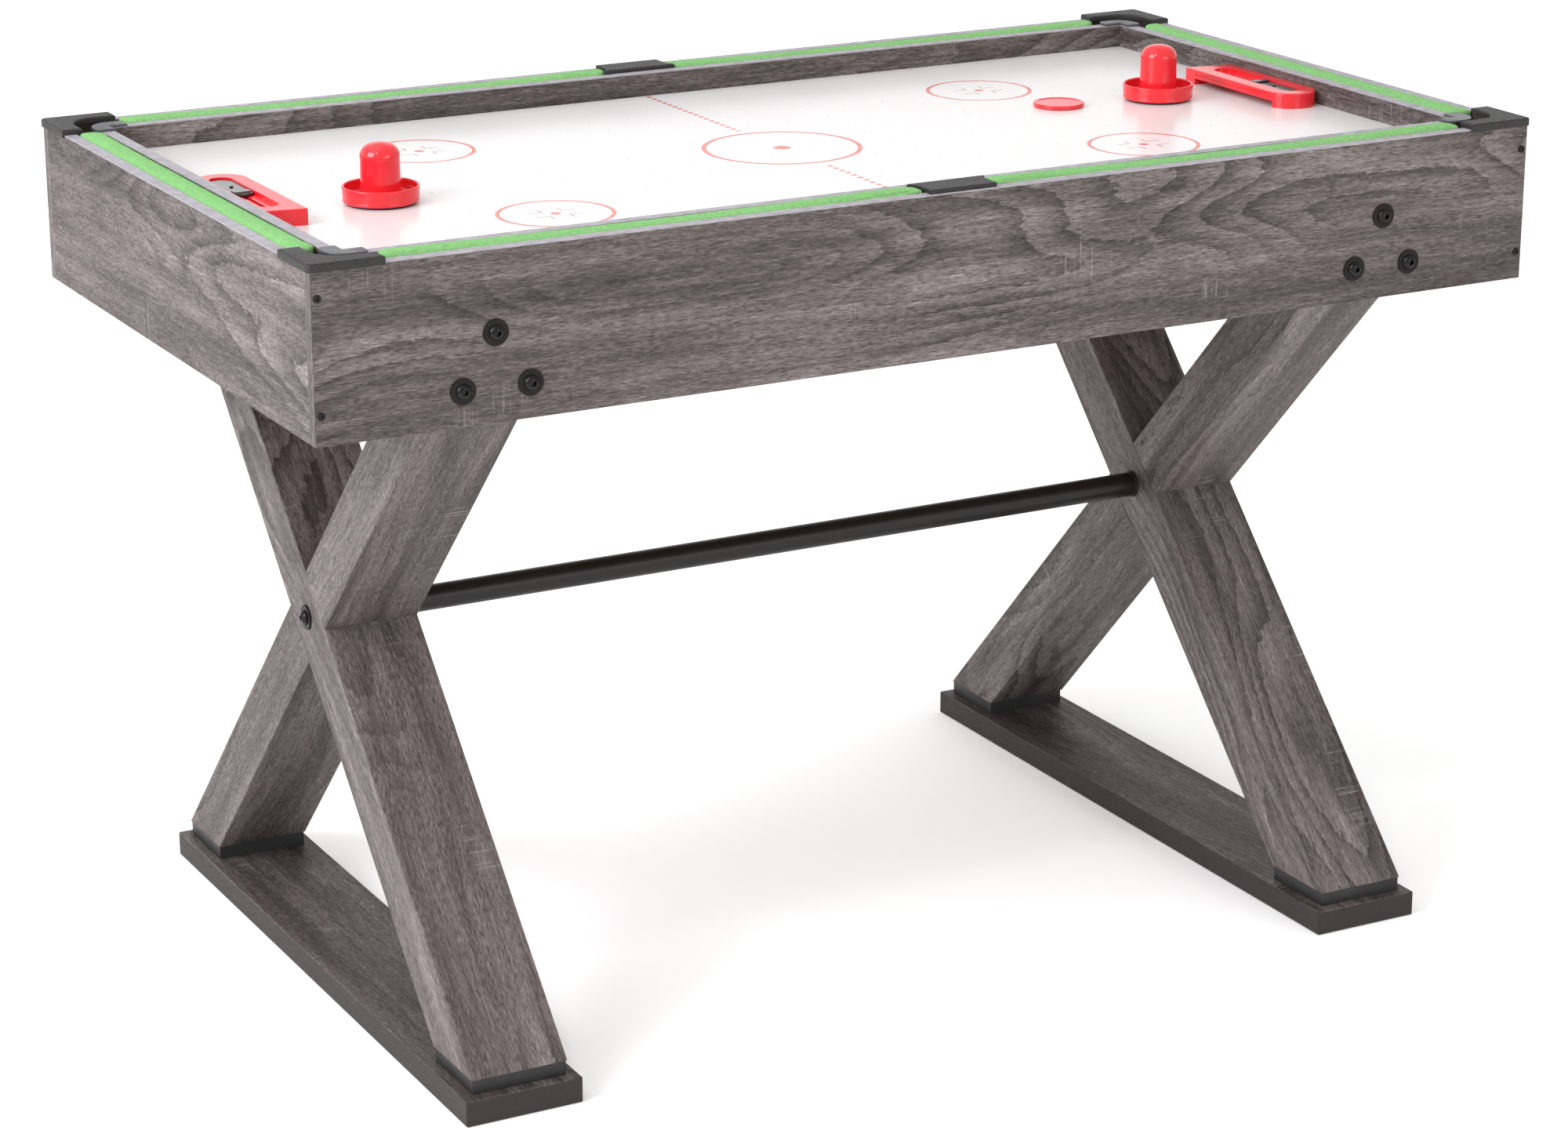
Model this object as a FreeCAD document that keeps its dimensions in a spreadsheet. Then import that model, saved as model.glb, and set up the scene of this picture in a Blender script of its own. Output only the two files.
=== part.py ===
import FreeCAD, Part
import math
import os
import re
import Sketcher
from FreeCAD import Placement, Rotation, Vector

# Air hockey table: a cabinet of four aprons on two X legs, with green rail cushions
# around a lift-out hockey top.  Origin on the floor under the middle of the table,
# +X along the table, +Y to the rear, +Z up.  Millimetres.

SIZES = [
    # cabinet
    ("table_length", 1270), ("table_width", 700), ("top_height", 800),
    ("apron_height", 154), ("apron_thick", 12), ("band_thick", 1),
    # how far cutting tools run past a face, and how far the ledge screws' pilots go in
    ("over_cut", 1), ("pilot_deep", 9),
    # the slot between the aprons and the hockey top, and the rail cushions in it
    ("slot_width", 26), ("cushion_clear", 0.3), ("lift_gap", 1), ("cushion_rise", 2.5),
    ("cushion_deep", 33), ("cushion_round", 4), ("nose_round", 14), ("end_round", 3),
    ("corner_stop_x", 564), ("corner_stop_y", 281), ("side_stop", 35),
    ("rail_wide", 15),
    # ledge under the hockey top
    ("ledge_deep", 34), ("ledge_tall", 20), ("rest_gap", 0.2), ("ledge_gap_in", 412),
    ("ledge_gap_out", 520),
    # corner and side caps
    ("cap_over", 2.5), ("cap_lip", 2), ("cap_rise", 5.5), ("cap_clear", 0.3),
    ("cap_arm_x", 567), ("cap_arm_y", 284), ("cap_inside", 6), ("cap_pocket", 26),
    ("cap_corner", 5), ("cap_bevel", 2), ("side_cap_half", 41), ("side_cap_back", 2.5),
    ("side_cap_rise", 4), ("side_cap_tab", 14), ("tab_half", 20), ("tab_clear", 2),
    # legs
    ("leg_x", 466.5), ("leg_wide", 96), ("leg_thick", 62), ("leg_angle", 46.1),
    ("cross_height", 373.5), ("leg_top", 744), ("leg_chamfer", 0.8),
    ("foot_long", 750), ("foot_wide", 116), ("foot_thick", 25),
    ("plinth_tall", 14), ("plinth_inset", 1.5),
    ("dowel_radius", 5), ("dowel_spread", 26), ("dowel_in", 18), ("dowel_out", 26),
    # stretcher
    ("stretcher_radius", 12.5), ("stretcher_wall", 1.5), ("flange_radius", 13.75),
    ("flange_thick", 4), ("spigot_long", 30),
    # fasteners
    ("bolt_radius", 4), ("bolt_hole", 4.3), ("thread_gap", 0.05), ("bolt_head", 7),
    ("bolt_dome", 4.4), ("hex_key", 5), ("hex_deep", 2.6), ("washer_radius", 12),
    ("washer_thick", 2), ("bolt_low", 678), ("bolt_high", 726.5), ("bolt_spread", 32),
    ("insert_radius", 6), ("insert_long", 29), ("leg_bolt_long", 42),
    ("cross_bolt_long", 122), ("tip_gap", 2),
    ("screw_radius", 1.75), ("screw_head", 3.5), ("screw_dome", 2), ("screw_long", 42),
    ("screw_low", 673), ("screw_high", 775), ("foot_screw_radius", 2.5),
    ("foot_screw_head", 5), ("foot_screw_sink", 4), ("foot_screw_long", 58),
    ("foot_screw_spread", 24), ("head_clear", 0.2),
    # hockey top
    ("hockey_length", 1194), ("hockey_width", 624), ("wall_thick", 12),
    ("floor_thick", 6), ("plenum_tall", 17), ("field_thick", 6), ("field_clear", 0.3),
    ("field_top", 776), ("batten_wide", 15), ("brace_gap", 30), ("brace_y", 150),
    ("trim_thick", 2.5), ("trim_over", 5.5), ("trim_lap", 0.5),
    ("trim_arm_x", 566), ("trim_arm_y", 283), ("trim_round", 20), ("trim_tip", 7.5),
    ("trim_edge", 1), ("hole_pitch", 45), ("hole_radius", 0.9), ("head_sink", 2.4),
    ("wall_screw", 28), ("goal_screw", 24), ("fan_screw", 42), ("ear_screw", 8),
    # goals and score sliders
    ("goal_deep", 52), ("goal_tall", 15.5), ("goal_back_half", 84),
    ("goal_front_half", 93), ("goal_round_half", 86), ("goal_round", 25.5),
    ("goal_corner", 2), ("goal_rim", 1.5), ("mouth_square", 74), ("mouth_round", 66),
    ("mouth_tall", 6.5), ("groove_deep", 0.9), ("groove_tall", 1.2),
    ("goal_screw_square", 79), ("goal_screw_round", 48), ("goal_screw_rise", 9),
    ("slot_x", 560), ("slot_half", 70), ("slot_round", 11), ("slot_deep", 4),
    ("key_half", 2), ("key_reach", 62), ("key_short", 10), ("key_lap", 0.5),
    ("slider_half", 36), ("slider_clear", 0.3), ("slider_thick", 2.2),
    ("slider_rest", 31), ("grip_radius", 1.7), ("grip_rise", 1.3), ("stop_half", 4),
    ("stop_rise", 1.4), ("stop_inset", 2.5),
    # strikers and puck
    ("glide_gap", 0.3), ("felt_thick", 1.5), ("felt_inset", 4), ("striker_radius", 36.2),
    ("striker_rim", 17), ("striker_tall", 57), ("knob_radius", 18.5), ("knob_foot", 19.2),
    ("dome_tall", 15.2), ("shell_wall", 2.4), ("puck_radius", 26), ("puck_thick", 4.2),
    # blower
    ("fan_side", 120), ("fan_tall", 38), ("fan_bore", 57), ("fan_pitch", 52.5),
    ("fan_corner", 6), ("strut_wide", 5), ("strut_tall", 3), ("fan_lap", 0.8),
    ("blade_tip", 55.5), ("blade_thick", 2), ("blade_deep", 40), ("blade_pitch", 38),
    ("rotor_low", 6), ("rotor_tall", 26), ("rotor_cup", 22), ("cup_wall", 3),
    ("stator_gap", 2), ("shaft_radius", 1.5), ("blades", 7), ("guard_thick", 1.6),
    ("guard_bar", 4), ("guard_ring", 2.4), ("guard_pad", 5),
    # control box, switch, inlet and the blower's lead
    ("box_x", 110), ("box_y", -285), ("box_long", 80), ("box_deep", 50), ("box_tall", 30),
    ("box_wall", 2.5), ("ear_long", 12), ("ear_half", 8), ("ear_screw_in", 6),
    ("window_half", 10), ("window_rise", 6.5), ("switch_x", 135), ("rocker_half", 8.8),
    ("rocker_deep", 7), ("rocker_rise", 5.7), ("rocker_axis", 3), ("rocker_edge", 1),
    ("rocker_tilt", 8), ("inlet_x", 170), ("jack_radius", 4), ("jack_flange", 6.5),
    ("jack_lip", 1.5), ("jack_long", 16), ("jack_bore", 2.9), ("jack_deep", 10),
    ("jack_pin", 1), ("lead_radius", 2), ("lead_x", 150), ("lead_y", -20),
    ("lead_turn", 40), ("clip_long", 12), ("clip_wide", 6), ("clip_wall", 1.2),
]

GUARD_RINGS = (14, 26, 38, 50)
LEDGE_SCREWS_X = (-555, -360, 0, 360, 555)
LEDGE_SCREWS_Y = (-200, 0, 200)
WALL_SCREWS_X = (-570, -285, 0, 285, 570)
WALL_SCREWS_Y = (-180, 0, 180)
CLIPS_Y = (-190, -90)
CLIP_X = 84
STRUT_TURNS = (30, 150, 270)
STRIKER_PLACES = {"left": (-440, -38), "right": (456, 28)}
PUCK_PLACE = (347, 46)
SIDES = {"left": -1, "right": 1}
ENDS = {"front": -1, "rear": 1}

doc = FreeCAD.newDocument("air_hockey_table")
sheet = doc.addObject("Spreadsheet::Sheet", "sizes")
for row, (alias, number) in enumerate(SIZES, 1):
    sheet.set(f"A{row}", alias)
    sheet.set(f"B{row}", str(number))
    sheet.setAlias(f"B{row}", alias)
doc.recompute()

ALIASES = re.compile(r"\b(" + "|".join(alias for alias, _ in SIZES) + r")\b")
nodes = {}


def size(alias):
    """A driving dimension as a number, read from the sheet."""
    return float(sheet.get(alias))


def formula(words):
    """A formula in aliases, as an expression on the sheet's cells."""
    return ALIASES.sub(r"sizes.\1", str(words))


def bind(thing, **sizes):
    """Bind properties to formulas; a double underscore stands for a dot."""
    for name, words in sizes.items():
        thing.setExpression(name.replace("__", "."), formula(words))
    return thing


def node(label, thing):
    """Name a finished sub-part."""
    thing.Label = label
    nodes[label] = thing
    return thing


# ---------------------------------------------------------------- solid helpers

def block(name, low, high):
    """A box between two corners, each three formulas."""
    spans = [f"({b}) - ({a})" for a, b in zip(low, high)]
    return bind(doc.addObject("Part::Box", name),
                Length=spans[0], Width=spans[1], Height=spans[2],
                Placement__Base__x=low[0], Placement__Base__y=low[1],
                Placement__Base__z=low[2])


TURNS = {
    "+X": Rotation(Vector(0, 1, 0), 90), "-X": Rotation(Vector(0, 1, 0), -90),
    "+Y": Rotation(Vector(1, 0, 0), -90), "-Y": Rotation(Vector(1, 0, 0), 90),
    "+Z": Rotation(), "-Z": Rotation(Vector(1, 0, 0), 180),
}


def rod(name, start, way, radius, length):
    """A cylinder from a start point along a row axis."""
    thing = doc.addObject("Part::Cylinder", name)
    thing.Placement = Placement(Vector(), TURNS[way])
    return bind(thing, Radius=radius, Height=length, Placement__Base__x=start[0],
                Placement__Base__y=start[1], Placement__Base__z=start[2])


def span(sign, near, far):
    """Low and high formulas of a span from near to far on one side of the middle."""
    return (near, far) if sign > 0 else (f"-({far})", f"-({near})")


def compound(name, things):
    thing = doc.addObject("Part::Compound", name)
    thing.Links = things
    return thing


def cut(name, base, tools):
    thing = doc.addObject("Part::Cut", name)
    thing.Base = base
    thing.Tool = tools[0] if len(tools) == 1 else compound(f"{name}_tools", tools)
    return thing


def fuse(name, things):
    thing = doc.addObject("Part::MultiFuse", name)
    thing.Shapes = things
    return thing


def made(name, shape):
    """A piece whose shape no feature here makes, such as a pattern of copies."""
    thing = doc.addObject("Part::Feature", name)
    thing.Shape = shape
    return thing


def body(name):
    return doc.addObject("PartDesign::Body", name)


def origin_plane(owner, role):
    return next(item for item in owner.Origin.OriginFeatures if item.Role == role)


def outline(owner, name, role, points, offset="0"):
    """A closed sketch of straight edges whose corners are pairs of formulas."""
    sketch = owner.newObject("Sketcher::SketchObject", name)
    sketch.AttachmentSupport = [(origin_plane(owner, role), "")]
    sketch.MapMode = "FlatFace"
    bind(sketch, AttachmentOffset__Base__z=offset)
    count = len(points)
    turn = 2 * math.pi / count
    ring = [Vector(100 * math.cos(turn * i), 100 * math.sin(turn * i), 0)
            for i in range(count)]
    for i in range(count):
        sketch.addGeometry(Part.LineSegment(ring[i], ring[(i + 1) % count]), False)
    for i in range(count):
        sketch.addConstraint(Sketcher.Constraint("Coincident", i, 2, (i + 1) % count, 1))
    for i, (across, along) in enumerate(points):
        for kind, words, start in (("DistanceX", across, ring[i].x),
                                   ("DistanceY", along, ring[i].y)):
            index = sketch.addConstraint(Sketcher.Constraint(kind, -1, 1, i, 1, start))
            sketch.setExpression(f"Constraints[{index}]", formula(words))
    return sketch


def pad(owner, name, sketch, length):
    thing = owner.newObject("PartDesign::Pad", name)
    thing.Profile = sketch
    return bind(thing, Length=length)


def pocket(owner, name, sketch, length, reverse):
    """A pocket that must take material away."""
    doc.recompute()
    before = owner.Shape.Volume
    thing = owner.newObject("PartDesign::Pocket", name)
    thing.Profile = sketch
    thing.Reversed = reverse
    bind(thing, Length=length)
    doc.recompute()
    if not owner.Shape.Volume < before - 1:
        raise ValueError(f"{name} cut nothing")
    return thing


def edges(shape, wanted):
    """Names of the edges that pass a test."""
    return [f"Edge{i}" for i, edge in enumerate(shape.Edges, 1) if wanted(edge)]


def upright(edge):
    ends = [vertex.Point for vertex in edge.Vertexes]
    return len(ends) == 2 and abs(ends[0].x - ends[1].x) < 1e-6 \
        and abs(ends[0].y - ends[1].y) < 1e-6


def upright_at(x, y):
    """A test for the upright edge nearest to a place in plan."""
    return lambda edge: upright(edge) and \
        math.hypot(edge.Vertexes[0].X - x, edge.Vertexes[0].Y - y) < 0.5


def level_at(height):
    """A test for edges that lie at one height."""
    return lambda edge: abs(edge.BoundBox.ZMin - height) < 1e-6 \
        and abs(edge.BoundBox.ZMax - height) < 1e-6


def dress(owner, kind, name, wanted, amount):
    """A fillet or chamfer on the edges of the tip that pass a test."""
    doc.recompute()
    tip = owner.Tip
    chosen = edges(tip.Shape, wanted)
    if not chosen:
        raise ValueError(f"{name} found no edge")
    thing = owner.newObject(f"PartDesign::{kind}", name)
    thing.Base = (tip, chosen)
    key = "Radius" if kind == "Fillet" else "Size"
    thing.setExpression(key, formula(amount))
    return thing


def copies(name, pattern, places):
    """Separate copies of one shape, each moved by its own placement."""
    solids = []
    for place in places:
        solid = pattern.copy()
        solid.Placement = place.multiply(solid.Placement)
        solids.append(solid)
    return made(name, Part.makeCompound(solids))


def ring_solid(outer, inner, height):
    """A plain ring on the origin, standing on its flat face."""
    return Part.makeCylinder(outer, height).cut(Part.makeCylinder(inner, height))


# ---------------------------------------------------------------- fasteners

def bolt_shape(length):
    """A button-head bolt: head on +Z, shank down along -Z from the head's seat."""
    head = size("bolt_head")
    dome = size("bolt_dome")
    rim, shoulder, flat = dome / 4, (head * 0.72, dome * 0.82), head * 0.45
    profile = [Vector(0, 0, 0), Vector(head, 0, 0), Vector(head, 0, rim)]
    flank = Part.makePolygon(profile)
    crown = Part.Arc(profile[-1], Vector(shoulder[0], 0, shoulder[1]),
                     Vector(flat, 0, dome)).toShape()
    top = Part.makePolygon([Vector(flat, 0, dome), Vector(0, 0, dome), profile[0]])
    face = Part.Face(Part.Wire(flank.Edges + [crown] + top.Edges))
    solid = face.revolve(Vector(), Vector(0, 0, 1), 360)
    socket = Part.Face(Part.makePolygon(hexagon(size("hex_key"), dome - size("hex_deep"))))
    solid = solid.cut(socket.extrude(Vector(0, 0, dome)))
    return solid.fuse(Part.makeCylinder(size("bolt_radius"), length, Vector(),
                                        Vector(0, 0, -1)))


def hexagon(across_flats, height):
    radius = across_flats / math.sqrt(3)
    turns = [math.pi * i / 3 for i in range(7)]
    return [Vector(radius * math.cos(turn), radius * math.sin(turn), height) for turn in turns]


def screw_shape(radius, head, dome, length):
    """A pan-head screw with a cross recess: head on +Z, shank along -Z."""
    cap = Part.makeCylinder(head, dome)
    rounding = dome * 0.6
    cap = cap.makeFillet(rounding, [edge for edge in cap.Edges if level_at(dome)(edge)])
    for angle in (0, 90):
        slot = Part.makeBox(head, head / 4, dome, Vector(-head / 2, -head / 8, dome / 2))
        slot.rotate(Vector(), Vector(0, 0, 1), angle)
        cap = cap.cut(slot)
    tip = min(length / 4, 2 * radius)
    shank = Part.makeCylinder(radius, length - tip, Vector(), Vector(0, 0, -1))
    point = Part.makeCone(radius, radius / 4, tip, Vector(0, 0, tip - length),
                          Vector(0, 0, -1))
    return cap.fuse([shank, point]).removeSplitter()


def facing(place, way):
    """Placement that turns a fastener's head from +Z to a row axis."""
    return Placement(Vector(*place), TURNS[way])


def leg_bolt_places():
    """Each leg bolt: its X, its height and its end of the table."""
    return [(side * size("leg_x") + step * size("bolt_spread"), height, end)
            for side in (-1, 1) for end in (-1, 1)
            for step, height in ((0, size("bolt_high")), (-1, size("bolt_low")),
                                 (1, size("bolt_low")))]


def make_bolts():
    face = size("table_width") / 2 + size("washer_thick")
    short = [facing((x, end * face, z), "-Y" if end < 0 else "+Y")
             for x, z, end in leg_bolt_places()]
    seat = size("leg_x") + size("leg_wide") / 2 + size("washer_thick")
    long = [facing((side * seat, 0, size("cross_height")), "-X" if side < 0 else "+X")
            for side in (-1, 1)]
    bolts = [bolt_shape(size("leg_bolt_long"))] * len(short) \
        + [bolt_shape(size("cross_bolt_long"))] * len(long)
    solids = []
    for shape, place in zip(bolts, short + long):
        solid = shape.copy()
        solid.Placement = place
        solids.append(solid)
    node("frame_bolts", made("frame_bolts", Part.makeCompound(solids)))

    washer = ring_solid(size("washer_radius"), size("bolt_hole"), size("washer_thick"))
    washer = washer.makeFillet(size("washer_thick") / 3, [
        edge for edge in washer.Edges
        if level_at(size("washer_thick"))(edge) and edge.BoundBox.XMax > size("bolt_head")])
    back = Placement(Vector(0, 0, -size("washer_thick")), Rotation())
    node("bolt_washers", copies("bolt_washers", washer,
                                [place.multiply(back) for place in short + long]))

    insert = ring_solid(size("insert_radius") - size("thread_gap"),
                        size("bolt_radius") + size("thread_gap"), size("insert_long"))
    inside = size("table_width") / 2 - size("apron_thick")
    node("leg_inserts", copies("leg_inserts", insert, [
        facing((x, end * inside, z), "+Y" if end < 0 else "-Y")
        for x, z, end in leg_bolt_places()]))


def batten_screw_spots():
    """Screws that hold the ledge to the aprons: place on the ledge's inner face, and way."""
    height = ledge_top_number() - size("ledge_tall") / 2
    front = size("table_width") / 2 - size("apron_thick") - size("ledge_deep")
    left = size("table_length") / 2 - size("apron_thick") - size("ledge_deep")
    spots = []
    for end in (-1, 1):
        for x in LEDGE_SCREWS_X:
            spots.append(((x, end * front, height), "+Y" if end < 0 else "-Y"))
    for side in (-1, 1):
        for y in LEDGE_SCREWS_Y:
            spots.append(((side * left, y, height), "+X" if side < 0 else "-X"))
    return spots


def ledge_top_number():
    return size("field_top") - size("field_thick") - size("plenum_tall") \
        - size("floor_thick") - size("rest_gap")


def make_cabinet_screws():
    screw = screw_shape(size("screw_radius"), size("screw_head"), size("screw_dome"),
                        size("screw_long"))
    x = size("table_length") / 2 - size("apron_thick") / 2
    y = size("table_width") / 2
    places = [facing((side * x, end * y, z), "-Y" if end < 0 else "+Y")
              for side in (-1, 1) for end in (-1, 1)
              for z in (size("screw_low"), size("screw_high"))]
    places += [facing(spot, way) for spot, way in batten_screw_spots()]
    node("cabinet_screws", copies("cabinet_screws", screw, places))


# ---------------------------------------------------------------- cabinet

CABINET_LOW = "top_height - apron_height"
PANEL_TOP = "top_height - band_thick"
INSIDE_X = "table_length / 2 - apron_thick"
INSIDE_Y = "table_width / 2 - apron_thick"
LEDGE_TOP = "field_top - field_thick - plenum_tall - floor_thick - rest_gap"
PILOT = "screw_radius + thread_gap"
SCREW_DEEP = "screw_long + over_cut"
LEDGE_SCREW_HEIGHT = f"{LEDGE_TOP} - ledge_tall / 2"


def long_apron(label, end):
    """Front or rear apron, with holes for the leg bolts and the corner screws."""
    half = "table_length / 2 - band_thick"
    faces = span(end, INSIDE_Y, "table_width / 2")
    panel = block(f"{label}_panel", (f"-({half})", faces[0], CABINET_LOW),
                  (half, faces[1], PANEL_TOP))
    out = "-Y" if end < 0 else "+Y"
    holes = []
    for side in (-1, 1):
        for step, height in ((0, "bolt_high"), (-1, "bolt_low"), (1, "bolt_low")):
            start = (f"{side} * leg_x + {step} * bolt_spread",
                     f"{end} * ({INSIDE_Y} - over_cut)", height)
            holes.append(rod(f"{label}_bolt", start, out, "bolt_hole", "apron_thick + 2 * over_cut"))
        for height in ("screw_low", "screw_high"):
            start = (f"{side} * ({INSIDE_X} + apron_thick / 2)",
                     f"{end} * ({INSIDE_Y} - over_cut)", height)
            holes.append(rod(f"{label}_screw", start, out, PILOT, "apron_thick + 2 * over_cut"))
    for spot, way in batten_screw_spots():
        if way == out:
            start = (str(spot[0]), f"{end} * ({INSIDE_Y} - over_cut)", LEDGE_SCREW_HEIGHT)
            holes.append(rod(f"{label}_ledge", start, out, PILOT,
                             "pilot_deep + over_cut"))
    node(label, cut(label, panel, holes))


def end_apron(label, side):
    """Left or right apron, which stands between the long ones."""
    faces = span(side, INSIDE_X, "table_length / 2")
    panel = block(f"{label}_panel", (faces[0], f"-({INSIDE_Y})", CABINET_LOW),
                  (faces[1], INSIDE_Y, PANEL_TOP))
    middle = f"{side} * ({INSIDE_X} + apron_thick / 2)"
    holes = [rod(f"{label}_pilot", (middle, f"{end} * ({INSIDE_Y} + over_cut)",
                                     height),
                 "+Y" if end < 0 else "-Y", PILOT, f"{SCREW_DEEP} - apron_thick + over_cut")
             for end in (-1, 1) for height in ("screw_low", "screw_high")]
    out = "-X" if side < 0 else "+X"
    holes += [rod(f"{label}_ledge", (f"{side} * ({INSIDE_X} - over_cut)", str(spot[1]),
                                     LEDGE_SCREW_HEIGHT), out, PILOT, "pilot_deep + over_cut")
              for spot, way in batten_screw_spots() if way == out]
    node(label, cut(label, panel, holes))


def make_edge_bands():
    """Edging on the tops of all four aprons and on the ends of the long ones."""
    strips = []
    for end in (-1, 1):
        low, high = span(end, INSIDE_Y, "table_width / 2")
        strips.append(block("band_long", ("-table_length / 2", low, PANEL_TOP),
                            ("table_length / 2", high, "top_height")))
        for side in (-1, 1):
            left, right = span(side, "table_length / 2 - band_thick", "table_length / 2")
            strips.append(block("band_end", (left, low, CABINET_LOW),
                                (right, high, PANEL_TOP)))
    for side in (-1, 1):
        left, right = span(side, INSIDE_X, "table_length / 2")
        strips.append(block("band_short", (left, f"-({INSIDE_Y})", PANEL_TOP),
                            (right, INSIDE_Y, "top_height")))
    node("apron_edge_bands", compound("apron_edge_bands", strips))


def make_ledge():
    """Battens inside the aprons that the hockey top rests on, open over the legs."""
    bottom = f"{LEDGE_TOP} - ledge_tall"
    inner = f"{INSIDE_Y} - ledge_deep"
    edge_x = f"{INSIDE_X} - ledge_deep"
    battens = []
    for end in (-1, 1):
        low, high = span(end, inner, INSIDE_Y)
        spans = [("-ledge_gap_in", "ledge_gap_in"), (f"-({edge_x})", "-ledge_gap_out"),
                 ("ledge_gap_out", edge_x)]
        battens += [block("batten_long", (left, low, bottom), (right, high, LEDGE_TOP))
                    for left, right in spans]
    for side in (-1, 1):
        left, right = span(side, edge_x, INSIDE_X)
        battens.append(block("batten_short", (left, f"-({INSIDE_Y})", bottom),
                             (right, INSIDE_Y, LEDGE_TOP)))
    holes = []
    for spot, way in batten_screw_spots():
        back = {"+X": (-1, 0), "-X": (1, 0), "+Y": (0, -1), "-Y": (0, 1)}[way]
        start = (f"{spot[0]} - {back[0]} * over_cut", f"{spot[1]} - {back[1]} * over_cut",
                 LEDGE_SCREW_HEIGHT)
        turned = {"+X": "-X", "-X": "+X", "+Y": "-Y", "-Y": "+Y"}[way]
        holes.append(rod("batten_hole", start, turned, PILOT, "ledge_deep + 2 * over_cut"))
    node("ledge_battens", cut("ledge_battens", compound("battens", battens), holes))


# ---------------------------------------------------------------- rail cushions

CUSHION_OUT_Y = f"{INSIDE_Y} - cushion_clear"
CUSHION_IN_Y = f"{INSIDE_Y} - slot_width + lift_gap"
CUSHION_OUT_X = f"{INSIDE_X} - cushion_clear"
CUSHION_IN_X = f"{INSIDE_X} - slot_width + lift_gap"
CUSHION_TOP = "top_height + cushion_rise"
CUSHION_LOW = f"{CUSHION_TOP} - cushion_deep"


def cushion(label, corners, noses, ends):
    """A rubber cushion under cloth: rounded in plan at its ends, and along its top."""
    owner = body(label)
    sketch = outline(owner, f"{label}_plan", "XY_Plane", corners, CUSHION_LOW)
    pad(owner, f"{label}_pad", sketch, "cushion_deep")
    doc.recompute()
    for number, place in enumerate(noses):
        dress(owner, "Fillet", f"{label}_nose{number}", upright_at(*place), "nose_round")
    for number, place in enumerate(ends):
        dress(owner, "Fillet", f"{label}_end{number}", upright_at(*place), "end_round")
    top = size("top_height") + size("cushion_rise")
    dress(owner, "Fillet", f"{label}_top", level_at(top), "cushion_round")
    node(label, owner)


def make_cushions():
    out_y = size("table_width") / 2 - size("apron_thick") - size("cushion_clear")
    in_y = out_y + size("cushion_clear") - size("slot_width") + size("lift_gap")
    in_x = in_y + (size("table_length") - size("table_width")) / 2
    for end_name, end in ENDS.items():
        for side_name, side in SIDES.items():
            corners = [(f"{side} * {x}", f"{end} * ({y})")
                       for x, y in (("side_stop", CUSHION_OUT_Y),
                                    ("corner_stop_x", CUSHION_OUT_Y),
                                    ("corner_stop_x", CUSHION_IN_Y),
                                    ("side_stop", CUSHION_IN_Y))]
            far = side * size("corner_stop_x")
            near = side * size("side_stop")
            cushion(f"cushion_{end_name}_{side_name}", corners,
                    [(far, end * in_y), (near, end * in_y)], [(near, end * out_y)])
    for side_name, side in SIDES.items():
        corners = [(f"{side} * ({x})", f"{end} * corner_stop_y")
                   for x, end in ((CUSHION_OUT_X, -1), (CUSHION_OUT_X, 1),
                                  (CUSHION_IN_X, 1), (CUSHION_IN_X, -1))]
        cushion(f"cushion_{side_name}", corners,
                [(side * in_x, end * size("corner_stop_y")) for end in (-1, 1)], [])


def make_cushion_rails():
    """Wooden strips that carry the cushions, glued to the aprons above the ledge."""
    top = f"{CUSHION_LOW} - cushion_clear"
    strips = []
    for end in (-1, 1):
        low, high = span(end, f"{INSIDE_Y} - rail_wide", INSIDE_Y)
        for left, right in (("-corner_stop_x", "-side_stop"), ("side_stop", "corner_stop_x")):
            strips.append(block("rail_long", (left, low, LEDGE_TOP), (right, high, top)))
    for side in (-1, 1):
        left, right = span(side, f"{INSIDE_X} - rail_wide", INSIDE_X)
        strips.append(block("rail_short", (left, "-corner_stop_y", LEDGE_TOP),
                            (right, "corner_stop_y", top)))
    node("cushion_rails", compound("cushion_rails", strips))


# ---------------------------------------------------------------- caps

def corner_cap(name, side, end):
    """An L-shaped cap over one corner, with a lip down the outside and a pocket curve."""
    out_x, out_y = "table_length / 2 + cap_over", "table_width / 2 + cap_over"
    in_x, in_y = f"{INSIDE_X} - cap_inside", f"{INSIDE_Y} - cap_inside"
    bottom = "top_height - cap_lip"
    plan = [("cap_arm_x", out_y), (out_x, out_y), (out_x, "cap_arm_y"),
            (in_x, "cap_arm_y"), (in_x, in_y), ("cap_arm_x", in_y)]
    owner = body(name)
    sketch = outline(owner, f"{name}_plan", "XY_Plane",
                     [(f"{side} * ({x})", f"{end} * ({y})") for x, y in plan], bottom)
    pad(owner, f"{name}_pad", sketch, "cap_lip + cap_rise")
    half_x = size("table_length") / 2
    half_y = size("table_width") / 2
    over = size("cap_over")
    dress(owner, "Fillet", f"{name}_corner",
          upright_at(side * (half_x + over), end * (half_y + over)), "cap_corner")
    inner = size("apron_thick") + size("cap_inside")
    dress(owner, "Fillet", f"{name}_pocket",
          upright_at(side * (half_x - inner), end * (half_y - inner)), "cap_pocket")
    dress(owner, "Fillet", f"{name}_bevel",
          level_at(size("top_height") + size("cap_rise")), "cap_bevel")
    seat = [("cap_arm_x - over_cut", "table_width / 2 + cap_clear"),
            ("table_length / 2 + cap_clear", "table_width / 2 + cap_clear"),
            ("table_length / 2 + cap_clear", "cap_arm_y - over_cut"),
            ("cap_arm_x - over_cut", "cap_arm_y - over_cut")]
    under = outline(owner, f"{name}_seat", "XY_Plane",
                    [(f"{side} * ({x})", f"{end} * ({y})") for x, y in seat], bottom)
    pocket(owner, f"{name}_recess", under, "cap_lip", True)
    return owner


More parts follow.
